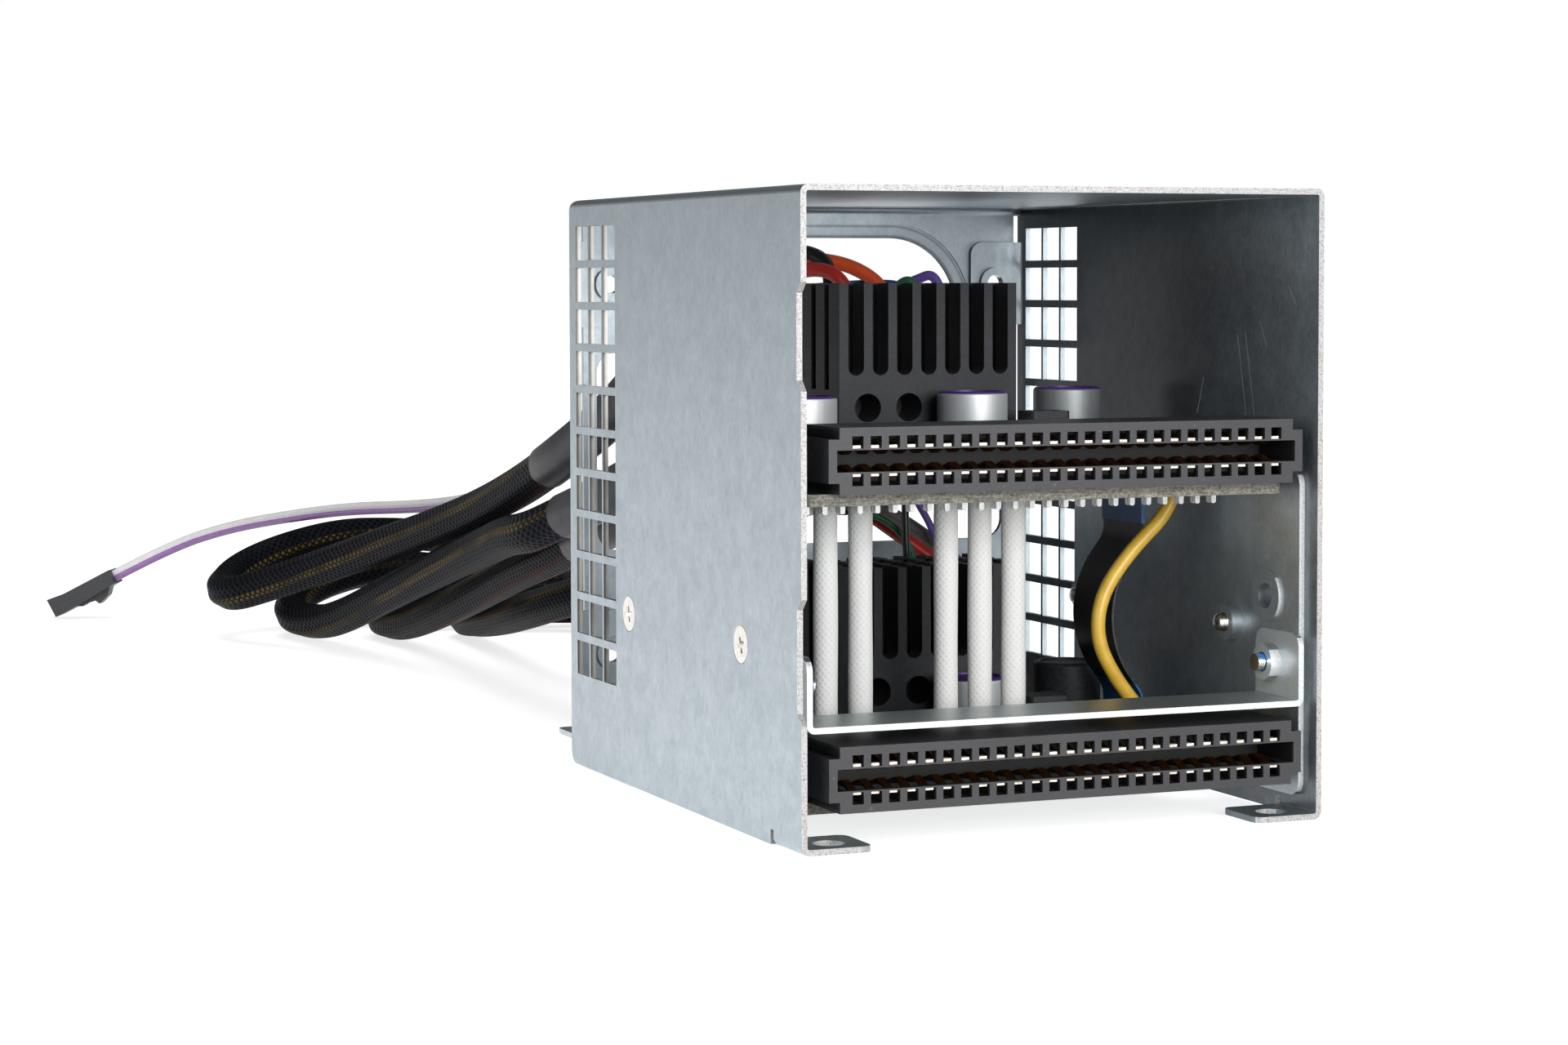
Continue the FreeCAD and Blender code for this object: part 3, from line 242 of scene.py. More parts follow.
def galvanised_steel(name, outside, inside, lit_mouth, sheared_edge, inside_roughness, inside_metal):
    """Zinc in shades for outer faces and inner walls, painted light towards the walls' mouth, and the sheared
    front edges.
    """
    material, tree, shader, place = start_material(name)
    facing = outward_direction(tree)
    x, y, z = axes(tree, place)
    normal_x, normal_y = axes(tree, facing)[:2]
    sideways = sums(tree, "ABSOLUTE", normal_x)
    faces_front = below(tree, normal_y, -head_on)

    grain = noise(tree, stretched(tree, place, (1700.0, 1700.0, 900.0)), 1.0, 4.0, 0.75)
    cloud = noise(tree, place, 330.0, 5.0, 0.7)
    mottle = between(tree, 0.5, cloud, grain)
    outer_zinc = ramp(tree, mottle, *zip((0.32, 0.68), outside))
    # Painted shade on the arch's rolled rim and on the opening's edge
    outer_zinc = blend(tree, rolled_rim_painted_shade(tree, x, y, z, normal_y), outer_zinc, rim_shadow)
    # The inner faces get their own copy of the zinc, painted light and shade, and painted light towards the
    # mouth
    painted_inside_zinc = ramp(tree, mottle, *zip((0.35, 0.65), inside))
    mouth = mapped(tree, y, mouth_light_start, mouth_light_end, 0.0, mouth_light_most)
    painted_inside_zinc = blend(tree, mouth, painted_inside_zinc, blend(tree, mottle, painted_inside_zinc, lit_mouth))
    painted_inside_zinc = blend(tree, product(tree, scratches(tree, x, y, z), 0.55), painted_inside_zinc, scratch_metal)

    from_middle = add_node(tree, "ShaderNodeVectorMath", {"operation": "SUBTRACT"}, i0=place, i1=cage_middle)
    outward = dot(tree, facing, from_middle.outputs[0])
    on_inner_wall = product(tree, below(tree, outward, 0.0), above(tree, sideways, head_on))
    # Painted shade: the rear panel's strip seen through the left vents gets half the inner walls' copy
    shaded_strip_in_vents = product(tree, below(tree, x, strip_x), above(tree, y, strip_y), faces_front)
    inner_walls_and_shaded_strip = sums(tree, "MAXIMUM", on_inner_wall, product(tree, shaded_strip_in_vents, 0.5))

    specks = noise(tree, place, 3600.0, 2.0, 0.75)
    sheared = ramp(tree, specks, *zip((0.33, 0.43, 0.66), sheared_edge))
    edge = product(tree, faces_front, below(tree, y, front_edge_y))
    in_sheet = product(tree, below(tree, x, vent_sheet_x), below(tree, sideways, edge_on))
    punched = product(tree, in_sheet, above(tree, y, vents_front), below(tree, y, vents_rear))
    # Painted shade on the vents' hole walls: dark through the outer part of the sheet, lighter near its inner
    # face
    through_sheet = product(tree, x, -10.0)
    vent_wall_shade = ramp(tree, through_sheet, (0.3755, (0.40, 0.39, 0.365)), (0.3775, (0.09, 0.085, 0.08)))

    colour = blend(tree, edge, blend(tree, inner_walls_and_shaded_strip, outer_zinc, painted_inside_zinc), sheared)
    roughness = between(tree, inner_walls_and_shaded_strip, mapped(tree, mottle, 0.3, 0.7, 0.46, 0.36), inside_roughness)
    metal = between(tree, inner_walls_and_shaded_strip, 1.0, inside_metal)
    coat(tree, shader, Base_Color=blend(tree, punched, colour, vent_wall_shade),
         Roughness=between(tree, edge, roughness, 0.5), Metallic=between(tree, edge, metal, 0.35),
         Specular_IOR_Level=0.05, Normal=relief(tree, mottle, 0.12, 0.0002))
    return material


# The inner walls' dark shades are painted shade, and the lighter one at their mouth is painted light
dress("cover", galvanised_steel(
    "galvanised_steel", outside=((0.375, 0.435, 0.475), (0.52, 0.58, 0.62)),
    inside=((0.038, 0.043, 0.048), (0.066, 0.074, 0.080)), lit_mouth=(0.44, 0.50, 0.54),
    sheared_edge=((0.24, 0.20, 0.17), (0.38, 0.37, 0.365), (0.51, 0.51, 0.515)),
    inside_roughness=0.24, inside_metal=0.5))


# Inner plates and shelf: folded from the same galvanised sheet, screwed inside the cover's walls.
# The plates carry both boards on tabs and flanges, and the shelf is a shallow tray with an ear on each plate.
bright_edge = ((0.50, 0.51, 0.52), (0.62, 0.635, 0.645), (0.74, 0.755, 0.765))
# The plates' inner faces take a darker copy of their zinc, painted shade, and are painted lighter towards the
# mouth, painted light
plate_zinc = galvanised_steel(
    "plate_steel", outside=((0.50, 0.54, 0.56), (0.64, 0.67, 0.69)),
    inside=((0.26, 0.30, 0.32), (0.37, 0.42, 0.445)), lit_mouth=(0.80, 0.86, 0.90),
    sheared_edge=bright_edge, inside_roughness=0.36, inside_metal=0.72)
# The shelf's inner faces take a lighter copy of its zinc, and it is painted lighter towards the mouth, both
# painted light
shelf_zinc = galvanised_steel(
    "shelf_steel", outside=((0.46, 0.50, 0.51), (0.60, 0.64, 0.65)),
    inside=((0.50, 0.56, 0.58), (0.64, 0.70, 0.72)), lit_mouth=(0.90, 0.96, 0.98),
    sheared_edge=bright_edge, inside_roughness=0.34, inside_metal=0.6)
dress("left_inner_plate", plate_zinc)
dress("right_inner_plate", plate_zinc)
dress("shelf_bracket", shelf_zinc)


# Screws: small machine screws, cold-headed and nickel-plated, with a cross recess and a rolled thread.
# Countersunk ones hold the walls to the plates and the plates to the shelf, and pan heads hold the boards.
# The thread ends of the shelf's screws show, with blue locking paint on them.
crease = math.radians(32)
recess_taper = (0.42, 0.6, 1.0)
thread_depth = 0.16
paint_from_x = 0.0330


def end_edit():
    """Turns all faces outward and leaves edit mode."""
    bpy.ops.mesh.select_all(action="SELECT")
    bpy.ops.mesh.normals_make_consistent(inside=False)
    bpy.ops.object.mode_set(mode="OBJECT")


def turned_piece(name, profile, sides):
    """Round piece about the Z axis: a disc that is drawn out and sized step by step up its profile, in mm."""
    bpy.ops.object.select_all(action="DESELECT")
    radius, height = profile[0]
    bpy.ops.mesh.primitive_circle_add(vertices=sides, radius=radius / 1000, fill_type="NGON",
                                      location=(0.0, 0.0, height / 1000))
    piece = bpy.context.object
    piece.name = name
    bpy.ops.object.transform_apply(location=True, rotation=False, scale=False)
    bpy.ops.object.mode_set(mode="EDIT")
    bpy.ops.mesh.select_mode(type="FACE")
    bpy.ops.mesh.select_all(action="SELECT")
    for (last_radius, last_height), (radius, height) in zip(profile, profile[1:]):
        rise = (0.0, 0.0, (height - last_height) / 1000)
        bpy.ops.mesh.extrude_region_move(TRANSFORM_OT_translate={"value": rise})
        share = radius / last_radius
        bpy.ops.transform.resize(value=(share, share, 1.0), center_override=(0.0, 0.0, height / 1000))
    end_edit()
    return piece


def cut_cross_recess(screw, top, reach, width, depth):
    """Cross recess in a screw's head: two tapered bars are cut out of it."""
    for turn in (0.0, math.pi / 2):
        bpy.ops.object.select_all(action="DESELECT")
        bpy.ops.mesh.primitive_cube_add(size=1.0, location=(0.0, 0.0, top / 1000))
        bar = bpy.context.object
        bar.scale = (2 * reach / 1000, width / 1000, 2 * depth / 1000)
        bpy.ops.object.transform_apply(location=True, rotation=False, scale=True)
        bpy.ops.object.mode_set(mode="EDIT")
        bpy.ops.mesh.select_mode(type="FACE")
        bpy.ops.mesh.select_all(action="DESELECT")
        bpy.ops.object.mode_set(mode="OBJECT")
        for face in bar.data.polygons:
            face.select = face.normal.z < -0.5
        bpy.ops.object.mode_set(mode="EDIT")
        bpy.ops.transform.resize(value=recess_taper, center_override=(0.0, 0.0, 0.0))
        bpy.ops.mesh.select_all(action="SELECT")
        bpy.ops.transform.rotate(value=turn, orient_axis="Z", center_override=(0.0, 0.0, 0.0))
        bpy.ops.object.mode_set(mode="OBJECT")
        cut = screw.modifiers.new("recess", "BOOLEAN")
        cut.operation = "DIFFERENCE"
        cut.solver = "EXACT"
        cut.object = bar
        bpy.context.view_layer.objects.active = screw
        bpy.ops.object.modifier_apply(modifier=cut.name)
        bpy.data.objects.remove(bar, do_unlink=True)


def new_object(name, data):
    """Object for some data, linked to the scene."""
    made = bpy.data.objects.new(name, data)
    bpy.context.collection.objects.link(made)
    return made


def set_copies(pattern, name, places, node_name):
    """Copies of a pattern piece, each with its own mesh, joined to one piece that stands for a CAD node."""
    copies = []
    for place in places:
        mesh = pattern.data.copy()
        mesh.transform(place)
        copies.append(new_object(name, mesh))
    bpy.data.objects.remove(pattern, do_unlink=True)
    bpy.ops.object.select_all(action="DESELECT")
    for copy in copies:
        copy.select_set(True)
    bpy.context.view_layer.objects.active = copies[0]
    bpy.ops.object.join()
    piece = bpy.context.object
    piece.name = name
    bpy.ops.object.shade_smooth_by_angle(angle=crease)
    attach(piece, "root")
    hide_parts(node_name)


def thread(first, last, radius, pitch):
    """Profile of a rolled thread between two heights."""
    profile = []
    for step in range(int((last - first) / pitch)):
        low = first + step * pitch
        profile += [(radius - thread_depth, low), (radius, low + 0.5 * pitch)]
    return profile


def shades(tree, factor, dark, light):
    """Noise turned into a colour between two shades."""
    return ramp(tree, factor, (0.3, dark), (0.7, light))


def even_finish(name, scale, dark, light, smooth, rough, bump, stretch=(1.0, 1.0, 1.0), harsh=0.6, **sockets):
    """One noise gives the colour, gloss and relief."""
    material, tree, shader, place = start_material(name)
    grain = noise(tree, stretched(tree, place, stretch), scale, 3.0, harsh)
    coat(tree, shader, Base_Color=shades(tree, grain, dark, light),
         Roughness=between(tree, grain, smooth, rough), Normal=relief(tree, grain, bump), **sockets)
    return material


def locked_thread():
    """Nickel with patches of blue locking paint on the thread."""
    material, tree, shader, place = start_material("locked_thread")
    from_middle = sums(tree, "ABSOLUTE", axes(tree, place)[0])
    patch = noise(tree, place, 420.0, 2.0, 0.5)
    paint = product(tree, above(tree, from_middle, paint_from_x), above(tree, patch, 0.52))
    plating = shades(tree, patch, (0.56, 0.52, 0.47), (0.82, 0.80, 0.77))
    ridges = product(tree, sums(tree, "PINGPONG", from_middle, 0.00017), 5800.0)
    coat(tree, shader, Base_Color=blend(tree, paint, plating, (0.03, 0.16, 0.40)),
         Roughness=between(tree, paint, 0.22, 0.5), Metallic=sums(tree, "SUBTRACT", 1.0, paint),
         Normal=relief(tree, ridges, 0.5))
    return material


nickel = even_finish("nickel_plate", 900.0, (0.66, 0.62, 0.57), (0.88, 0.86, 0.83), 0.18, 0.36, 0.06,
                     Metallic=1.0)
countersunk_head = [(1.15, -0.85), (2.48, -0.06), (2.5, 0.0)]
wall_screw = turned_piece("wall_screw", [(0.85, -4.4)] + thread(-4.3, -0.9, 1.2, 0.34) + countersunk_head, 40)
wall_screw.data.materials.append(nickel)
cut_cross_recess(wall_screw, top=0.0, reach=1.7, width=0.74, depth=0.85)
wall_screw_height = 0.0249
wall_screw_places = []
for wall, turn in ((-0.038, -math.pi / 2), (0.038, math.pi / 2)):
    for row, twist in ((-0.0311, 0.35), (0.0129, 0.2)):
        seat = Matrix.Translation((wall, row, wall_screw_height))
        wall_screw_places.append(seat @ Matrix.Rotation(turn, 4, "Y") @ Matrix.Rotation(twist, 4, "Z"))
set_copies(wall_screw, "countersunk_screws", wall_screw_places, "wall_screws")

pan_head = [(1.15, 0.0), (2.5, 0.0), (2.6, 0.3), (2.55, 0.8), (2.2, 1.3), (1.4, 1.65), (0.5, 1.8)]
board_screw = turned_piece("board_screw", [(0.9, -3.4)] + thread(-3.3, -0.3, 1.2, 0.33) + pan_head, 32)
board_screw.data.materials.append(nickel)
cut_cross_recess(board_screw, top=1.8, reach=1.4, width=0.6, depth=0.8)
board_screw_places = []
for board_top in (0.0457, 0.0051):
    for column in (-0.0327, 0.0298):
        for row in (-0.02225, 0.00775):
            twist = column * 40.0 + row * 90.0
            seat = Matrix.Translation((column, row, board_top))
            board_screw_places.append(seat @ Matrix.Rotation(twist, 4, "Z"))
set_copies(board_screw, "pan_head_screws", board_screw_places, "board_screws")
dress("shelf_screws", locked_thread())


# Boards: glass-fibre laminate with a dark green solder mask, sawn out of a panel, so the weave shows
# as a speckled grey band on the edges. They lie on the plates' tabs and flanges.
def board_laminate():
    material, tree, shader, place = start_material("board_laminate")
    layers = noise(tree, stretched(tree, place, (420.0, 420.0, 3200.0)), 1.0, 3.0, 0.7)
    fibres = noise(tree, place, 2400.0, 2.0, 0.7)
    sawn = ramp(tree, between(tree, 0.5, layers, fibres), (0.36, (0.050, 0.047, 0.038)),
                (0.5, (0.150, 0.145, 0.122)), (0.66, (0.30, 0.29, 0.255)))
    patch = noise(tree, place, 70.0, 2.0, 0.5)
    lines = add_node(tree, "ShaderNodeTexWave", {"bands_direction": "X"}, Vector=place, Scale=180.0)
    tracks = product(tree, above(tree, lines.outputs["Fac"], 0.55), above(tree, patch, 0.46))
    mask = shades(tree, patch, (0.006, 0.040, 0.020), (0.012, 0.062, 0.032))
    mask = blend(tree, tracks, mask, (0.022, 0.100, 0.050))
    flat = above(tree, sums(tree, "ABSOLUTE", axes(tree, outward_direction(tree))[2]), edge_on)
    coat(tree, shader, Base_Color=blend(tree, flat, sawn, mask), Roughness=between(tree, flat, 0.75, 0.34),
         Normal=relief(tree, between(tree, flat, fibres, tracks), 0.25))
    return material


def picked_piece(name, mesh):
    """New object for a mesh, the only one selected."""
    piece = new_object(name, mesh)
    bpy.ops.object.select_all(action="DESELECT")
    piece.select_set(True)
    bpy.context.view_layer.objects.active = piece
    return piece


def trimmed_copy(node_name, name, cut_point, cut_direction, material):
    """Stands for a CAD node: a welded copy of its mesh, cut off beyond a plane and closed again."""
    piece = picked_piece(name, nodes[node_name].data.copy())
    bpy.ops.mesh.customdata_custom_splitnormals_clear()
    bpy.ops.object.mode_set(mode="EDIT")
    bpy.ops.mesh.select_all(action="SELECT")
    bpy.ops.mesh.remove_doubles(threshold=weld_distance)
    bpy.ops.mesh.bisect(plane_co=cut_point, plane_no=cut_direction, use_fill=True, clear_outer=True)
    end_edit()
    bpy.ops.object.shade_smooth_by_angle(angle=crease)
    piece.data.materials.clear()
    piece.data.materials.append(material)
    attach(piece, "root")
    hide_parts(node_name)


weld_distance = 0.000001
laminate = board_laminate()
dress("upper_board", laminate)
# In the photograph the lower board ends well behind its socket's face
lower_board_edge = (0.0, -0.0418, 0.0)
trimmed_copy("lower_board", "lower_laminate", lower_board_edge, (0.0, -1.0, 0.0), laminate)


# Card-edge sockets: black glass-filled plastic moulded in one shot, with two rows of stamped spring
# contacts pushed in from the rear. Their tips are tinned, their bows bare copper alloy coloured very dark as
# the slot's painted shade, and the slot and windows are painted near black as painted shade.
def socket_plastic(name, low, high):
    """Glass-filled plastic, with the slot and windows behind the front face painted near black as painted
    shade.
    """
    material, tree, shader, place = start_material(name)
    fine = noise(tree, place, 2600.0, 3.0, 0.65)
    broad = noise(tree, place, 130.0)
    dust = above(tree, noise(tree, place, 1500.0, 1.0, 0.5), 0.72)
    body = shades(tree, between(tree, 0.5, fine, broad), (0.017, 0.017, 0.019), (0.034, 0.034, 0.038))
    body = blend(tree, product(tree, dust, 0.35), body, (0.16, 0.16, 0.16))
    # Painted shade: faces more than the skin inside the housing's outline go near black
    inside = 1.0
    for axis, least, most in zip(axes(tree, place), low, high):
        inside = product(tree, inside, above(tree, axis, least + skin), below(tree, axis, most - skin))
    coat(tree, shader, Base_Color=blend(tree, inside, body, (0.004, 0.004, 0.005)),
         Roughness=between(tree, inside, between(tree, broad, 0.40, 0.54), 0.6),
         Normal=relief(tree, fine, 0.16, 0.00008))
    return material


def contact_metal(name, board_bottom):
    """Stamped contact: tinned tip at the window, a bow of copper alloy in painted shade, bright solder on the
    end below the board.
    """
    material, tree, shader, place = start_material(name)
    wear = noise(tree, place, 1200.0)
    y, z = axes(tree, place)[1:]
    tip = below(tree, y, tips_from_y)
    tail = below(tree, z, board_bottom)
    # Painted shade: the bow's copper alloy is coloured very dark for the slot's shade
    slot_shaded_copper = shades(tree, wear, (0.050, 0.017, 0.006), (0.15, 0.055, 0.018))
    tinned = ramp(tree, wear, (0.25, (0.62, 0.52, 0.42)), (0.7, (0.90, 0.86, 0.80)))
    solder = ramp(tree, wear, (0.25, (0.72, 0.72, 0.72)), (0.7, (0.95, 0.95, 0.95)))
    bright = sums(tree, "MAXIMUM", tip, tail)
    coat(tree, shader, Base_Color=blend(tree, tail, blend(tree, tip, slot_shaded_copper, tinned), solder),
         Roughness=between(tree, wear, 0.28, 0.45), Metallic=between(tree, bright, 0.85, 0.25),
         Normal=relief(tree, wear, 0.08))
    return material


skin = 0.0004
tips_from_y = -0.0504
for level in ("upper", "lower"):
    housing = level + "_socket_housing"
    dress(housing, socket_plastic(level + "_socket_plastic", *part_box(housing)))
upper_board_bottom, lower_board_bottom = 0.0441, 0.0035
dress("upper_socket_contacts", contact_metal("upper_contact_metal", upper_board_bottom))
# Below the lower board the soldered ends are clipped short
clipped_end = (0.0, 0.0, 0.0023)
trimmed_copy("lower_socket_contacts", "lower_contacts", clipped_end, (0.0, 0.0, -1.0),
             contact_metal("lower_contact_metal", lower_board_bottom))


# Heat sinks: aluminium extrusions with cross-sawn pins, anodised a satin black.
# Saw marks run faintly across their faces, and each stands on its board with two screw holes in front.
def black_anodised():
    material, tree, shader, place = start_material("black_anodised")
    saw = noise(tree, stretched(tree, place, (90.0, 90.0, 2600.0)), 1.0, 2.0)
    fine = noise(tree, place, 1800.0)
    mottle = between(tree, 0.4, fine, noise(tree, place, 120.0))
    coat(tree, shader, Base_Color=shades(tree, mottle, (0.022, 0.023, 0.026), (0.038, 0.039, 0.043)),
         Roughness=between(tree, saw, 0.42, 0.56), Specular_IOR_Level=0.2,
         Normal=relief(tree, between(tree, 0.5, saw, fine), 0.08))
    return material


anodised = black_anodised()
dress("upper_heat_sink", anodised)
dress("lower_heat_sink", anodised)


# Capacitors: drawn aluminium cans, rolled in above the foot, with a purple print on the dished top
# that shows as a thin line at the rim. The third can on the upper board takes a darker copy of the aluminium
# as painted shade, and the third on the lower board is painted near black as painted shade.
def can_aluminium(name, node_name, dark, light):
    material, tree, shader, place = start_material(name)
    can_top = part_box(node_name)[1][2]
    drawn = noise(tree, stretched(tree, place, (2200.0, 2200.0, 60.0)), 1.0)
    broad = noise(tree, place, 200.0, 2.0, 0.5)
    rim = above(tree, axes(tree, place)[2], can_top - print_drop)
    silver = shades(tree, between(tree, 0.5, drawn, broad), dark, light)
    violet = shades(tree, broad, (0.060, 0.025, 0.150), (0.095, 0.040, 0.210))
    coat(tree, shader, Base_Color=blend(tree, rim, silver, violet),
         Roughness=between(tree, rim, between(tree, drawn, 0.46, 0.58), 0.45),
         Metallic=between(tree, rim, 0.6, 0.2), Normal=relief(tree, drawn, 0.06))
    return material


print_drop = 0.00032
for level in ("upper", "lower"):
    first_can = level + "_capacitor_1"
    can_finish = can_aluminium(level + "_can", first_can, (0.56, 0.58, 0.58), (0.68, 0.70, 0.71))
    dress(first_can, can_finish)
    dress(level + "_capacitor_2", can_finish)
# Painted shade: a darker copy of the aluminium for the upper board's third can
can_in_painted_shade = can_aluminium("can_in_painted_shade", "upper_capacitor_3", (0.26, 0.275, 0.28), (0.34, 0.36, 0.365))
dress("upper_capacitor_3", can_in_painted_shade)
# Painted shade: the lower board's third can is coloured near black
near_black_painted_can = even_finish("near_black_painted_can", 1500.0, (0.010, 0.011, 0.012), (0.026, 0.028, 0.031), 0.42, 0.58,
                          0.1, Specular_IOR_Level=0.25)
dress("lower_capacitor_3", near_black_painted_can)


# Ferrites: a staple bent from tinned strip on each board, soldered by its legs.
# A pressed and sintered black bar lies on the staple's crown.
strap_tin = even_finish("tinned_strap", 1.0, (0.55, 0.55, 0.56), (0.82, 0.82, 0.82), 0.18, 0.36, 0.1,
                        stretch=(1400.0, 1400.0, 200.0), Metallic=1.0)
ferrite_black = even_finish("ferrite", 2200.0, (0.008, 0.008, 0.009), (0.030, 0.030, 0.033), 0.45, 0.7, 0.3,
                            harsh=0.7)
for level in ("upper", "lower"):
    dress(level + "_ferrite_strap", strap_tin)
    dress(level + "_ferrite", ferrite_black)


# Flat jumper: a laminated strip of copper tracks in black film, with a blue stiffener at each end.
# It plugs into a cream socket on each board and is held by the socket's dark locking bar.
def jumper_film():
    material, tree, shader, place = start_material("jumper_film")
    y, z = axes(tree, place)[1:]
    tracks = product(tree, sums(tree, "PINGPONG", y, 0.0005), 2000.0)
    fine = noise(tree, place, 900.0)
    ends = sums(tree, "MAXIMUM", above(tree, z, upper_stiffener_z), below(tree, z, lower_stiffener_z))
    film = shades(tree, fine, (0.010, 0.010, 0.011), (0.026, 0.026, 0.028))
    stiffener = shades(tree, fine, (0.012, 0.085, 0.24), (0.022, 0.125, 0.32))
    coat(tree, shader, Base_Color=blend(tree, ends, film, stiffener),
         Roughness=between(tree, fine, 0.30, 0.46), Normal=relief(tree, tracks, 0.12))
    return material


def cream_plastic():
    material, tree, shader, place = start_material("cream_plastic")
    fine = noise(tree, place, 1400.0)
    latch = below(tree, axes(tree, place)[0], locking_bar_x)
    body = shades(tree, fine, (0.46, 0.40, 0.29), (0.60, 0.54, 0.41))
    bar = shades(tree, fine, (0.015, 0.013, 0.012), (0.035, 0.030, 0.027))
    coat(tree, shader, Base_Color=blend(tree, latch, body, bar), Roughness=between(tree, fine, 0.42, 0.58),
         Normal=relief(tree, fine, 0.1))
    return material


upper_stiffener_z, lower_stiffener_z = 0.0380, 0.0150
locking_bar_x = 0.0274
dress("flex_jumper", jumper_film())
flex_socket_finish = cream_plastic()
dress("upper_flex_socket", flex_socket_finish)
dress("lower_flex_socket", flex_socket_finish)


# Link leads: five stiff leads that join the two boards and are soldered to both.
# Each one runs in a woven white glass-fibre sleeve that is cut to length.
def soft_tube(name, line, sides, outline, first_side):
    """Tube along a line of points. outline(angle, run) gives its radius. Its UV is turns and metres run."""
    corners = []
    runs = []
    run = 0.0
    side = Vector(first_side)
    for index, point in enumerate(line):
        if index:
            run += (point - line[index - 1]).length
        ahead = (line[min(index + 1, len(line) - 1)] - line[max(index - 1, 0)]).normalized()
        side = (side - ahead * side.dot(ahead)).normalized()
        rise = side.cross(ahead)
        runs.append(run)
        for step in range(sides):
            angle = 2 * math.pi * step / sides
            corners.append(point + (side * math.cos(angle) + rise * math.sin(angle)) * outline(angle, run))
    faces = []
    wraps = []
    for ring in range(len(line) - 1):
        for step in range(sides):
            after = (step + 1) % sides
            faces.append((ring * sides + step, (ring + 1) * sides + step,
                          (ring + 1) * sides + after, ring * sides + after))
            wraps += [(step / sides, runs[ring]), (step / sides, runs[ring + 1]),
                      ((step + 1) / sides, runs[ring + 1]), ((step + 1) / sides, runs[ring])]
    last = (len(line) - 1) * sides
    for cap, cap_run in ((range(sides), 0.0), (reversed(range(last, last + sides)), run)):
        faces.append(tuple(cap))
        wraps += [(step / sides, cap_run) for step in range(sides)]
    mesh = bpy.data.meshes.new(name)
    mesh.from_pydata(corners, [], faces)
    layer = mesh.uv_layers.new(name="wrap")
    for corner, wrap in zip(layer.data, wraps):
        corner.uv = wrap
    tube = picked_piece(name, mesh)
    bpy.ops.object.mode_set(mode="EDIT")
    end_edit()
    bpy.ops.object.shade_smooth_by_angle(angle=tube_crease)
    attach(tube, "root")
    return tube


def tube_wrap(tree):
    """A tube's own UV: turns round it, and metres along it."""
    return axes(tree, add_node(tree, "ShaderNodeTexCoord").outputs["UV"])[:2]


def weave(tree, turns, run, strands, pitch):
    """Ridge height of two crossing sets of strands."""
    across = product(tree, turns, strands)
    along = sums(tree, "DIVIDE", run, pitch)
    right = sums(tree, "PINGPONG", sums(tree, "ADD", along, across), 0.5)
    left = sums(tree, "PINGPONG", sums(tree, "SUBTRACT", along, across), 0.5)
    return product(tree, sums(tree, "MAXIMUM", right, left), 2.0)


def white_sleeve():
    material, tree, shader, place = start_material("white_sleeve")
    ridge = weave(tree, *tube_wrap(tree), 11.0, 0.00096)
    fuzz = noise(tree, place, 2200.0, 3.0, 0.7)
    # Painted shade: the glass is darker in the weave's valleys than on its ridges
    glass = ramp(tree, between(tree, 0.3, ridge, fuzz), (0.15, (0.59, 0.59, 0.58)),
                 (0.55, (0.66, 0.66, 0.65)), (0.9, (0.70, 0.70, 0.69)))
    coat(tree, shader, Base_Color=glass, Roughness=0.72,
         Normal=relief(tree, between(tree, 0.25, ridge, fuzz), 0.45, 0.00015))
    return material


tube_crease = math.radians(50)
sleeve_white = white_sleeve()
sleeve_radius = 0.00172
sleeve_y = -0.0295
sleeve_columns = (-0.02515, -0.02005, -0.0074, -0.0023, 0.0028)
for number, column in enumerate(sleeve_columns, 1):
    low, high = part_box("link_lead_%d" % number)
    line = [Vector((column, sleeve_y, low[2] + (high[2] - low[2]) * step / 24)) for step in range(25)]

    def sleeve_outline(angle, run, phase=number):
        """Woven sleeve that sits a little unevenly round its lead."""
        waves = 0.02 * math.sin(260.0 * run + 2.1 * phase)
        return sleeve_radius * (0.965 + waves + 0.014 * math.cos(2 * angle + phase))

    sleeve = soft_tube("link_sleeve_%d" % number, line, 28, sleeve_outline, (1.0, 0.0, 0.0))
    sleeve.data.materials.append(sleeve_white)
    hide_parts("link_lead_%d" % number)


# Leads: stranded wires in glossy coloured insulation, soldered into the boards.
# The thick ones rise from the boards to the cables' sleeves, and the thin ones link the two boards.
def cord_curve(name, route, radius):
    """Cord as one smooth spline over a given route in millimetres."""
    curve = bpy.data.curves.new(name, "CURVE")
    curve.dimensions = "3D"
    curve.bevel_depth = radius / 1000
    curve.bevel_resolution = 6
    curve.resolution_u = 12
    curve.use_fill_caps = True
    spline = curve.splines.new("NURBS")
    spline.points.add(len(route) - 1)
    for point, place in zip(spline.points, route):
        point.co = (*metres(place), 1.0)
    spline.order_u = 3
    spline.use_endpoint_u = True
    return new_object(name, curve)


def metres(place):
    return tuple(distance / 1000 for distance in place)


def wire_insulation(colour, dark, light):
    material, tree, shader, place = start_material(colour + "_wire")
    scuffs = noise(tree, place, 700.0, 4.0, 0.65)
    broad = noise(tree, place, 90.0, 2.0, 0.5)
    coat(tree, shader, Base_Color=ramp(tree, between(tree, 0.5, scuffs, broad), (0.35, dark), (0.65, light)),
         Roughness=between(tree, scuffs, 0.26, 0.44), Normal=relief(tree, scuffs, 0.05))
    return material


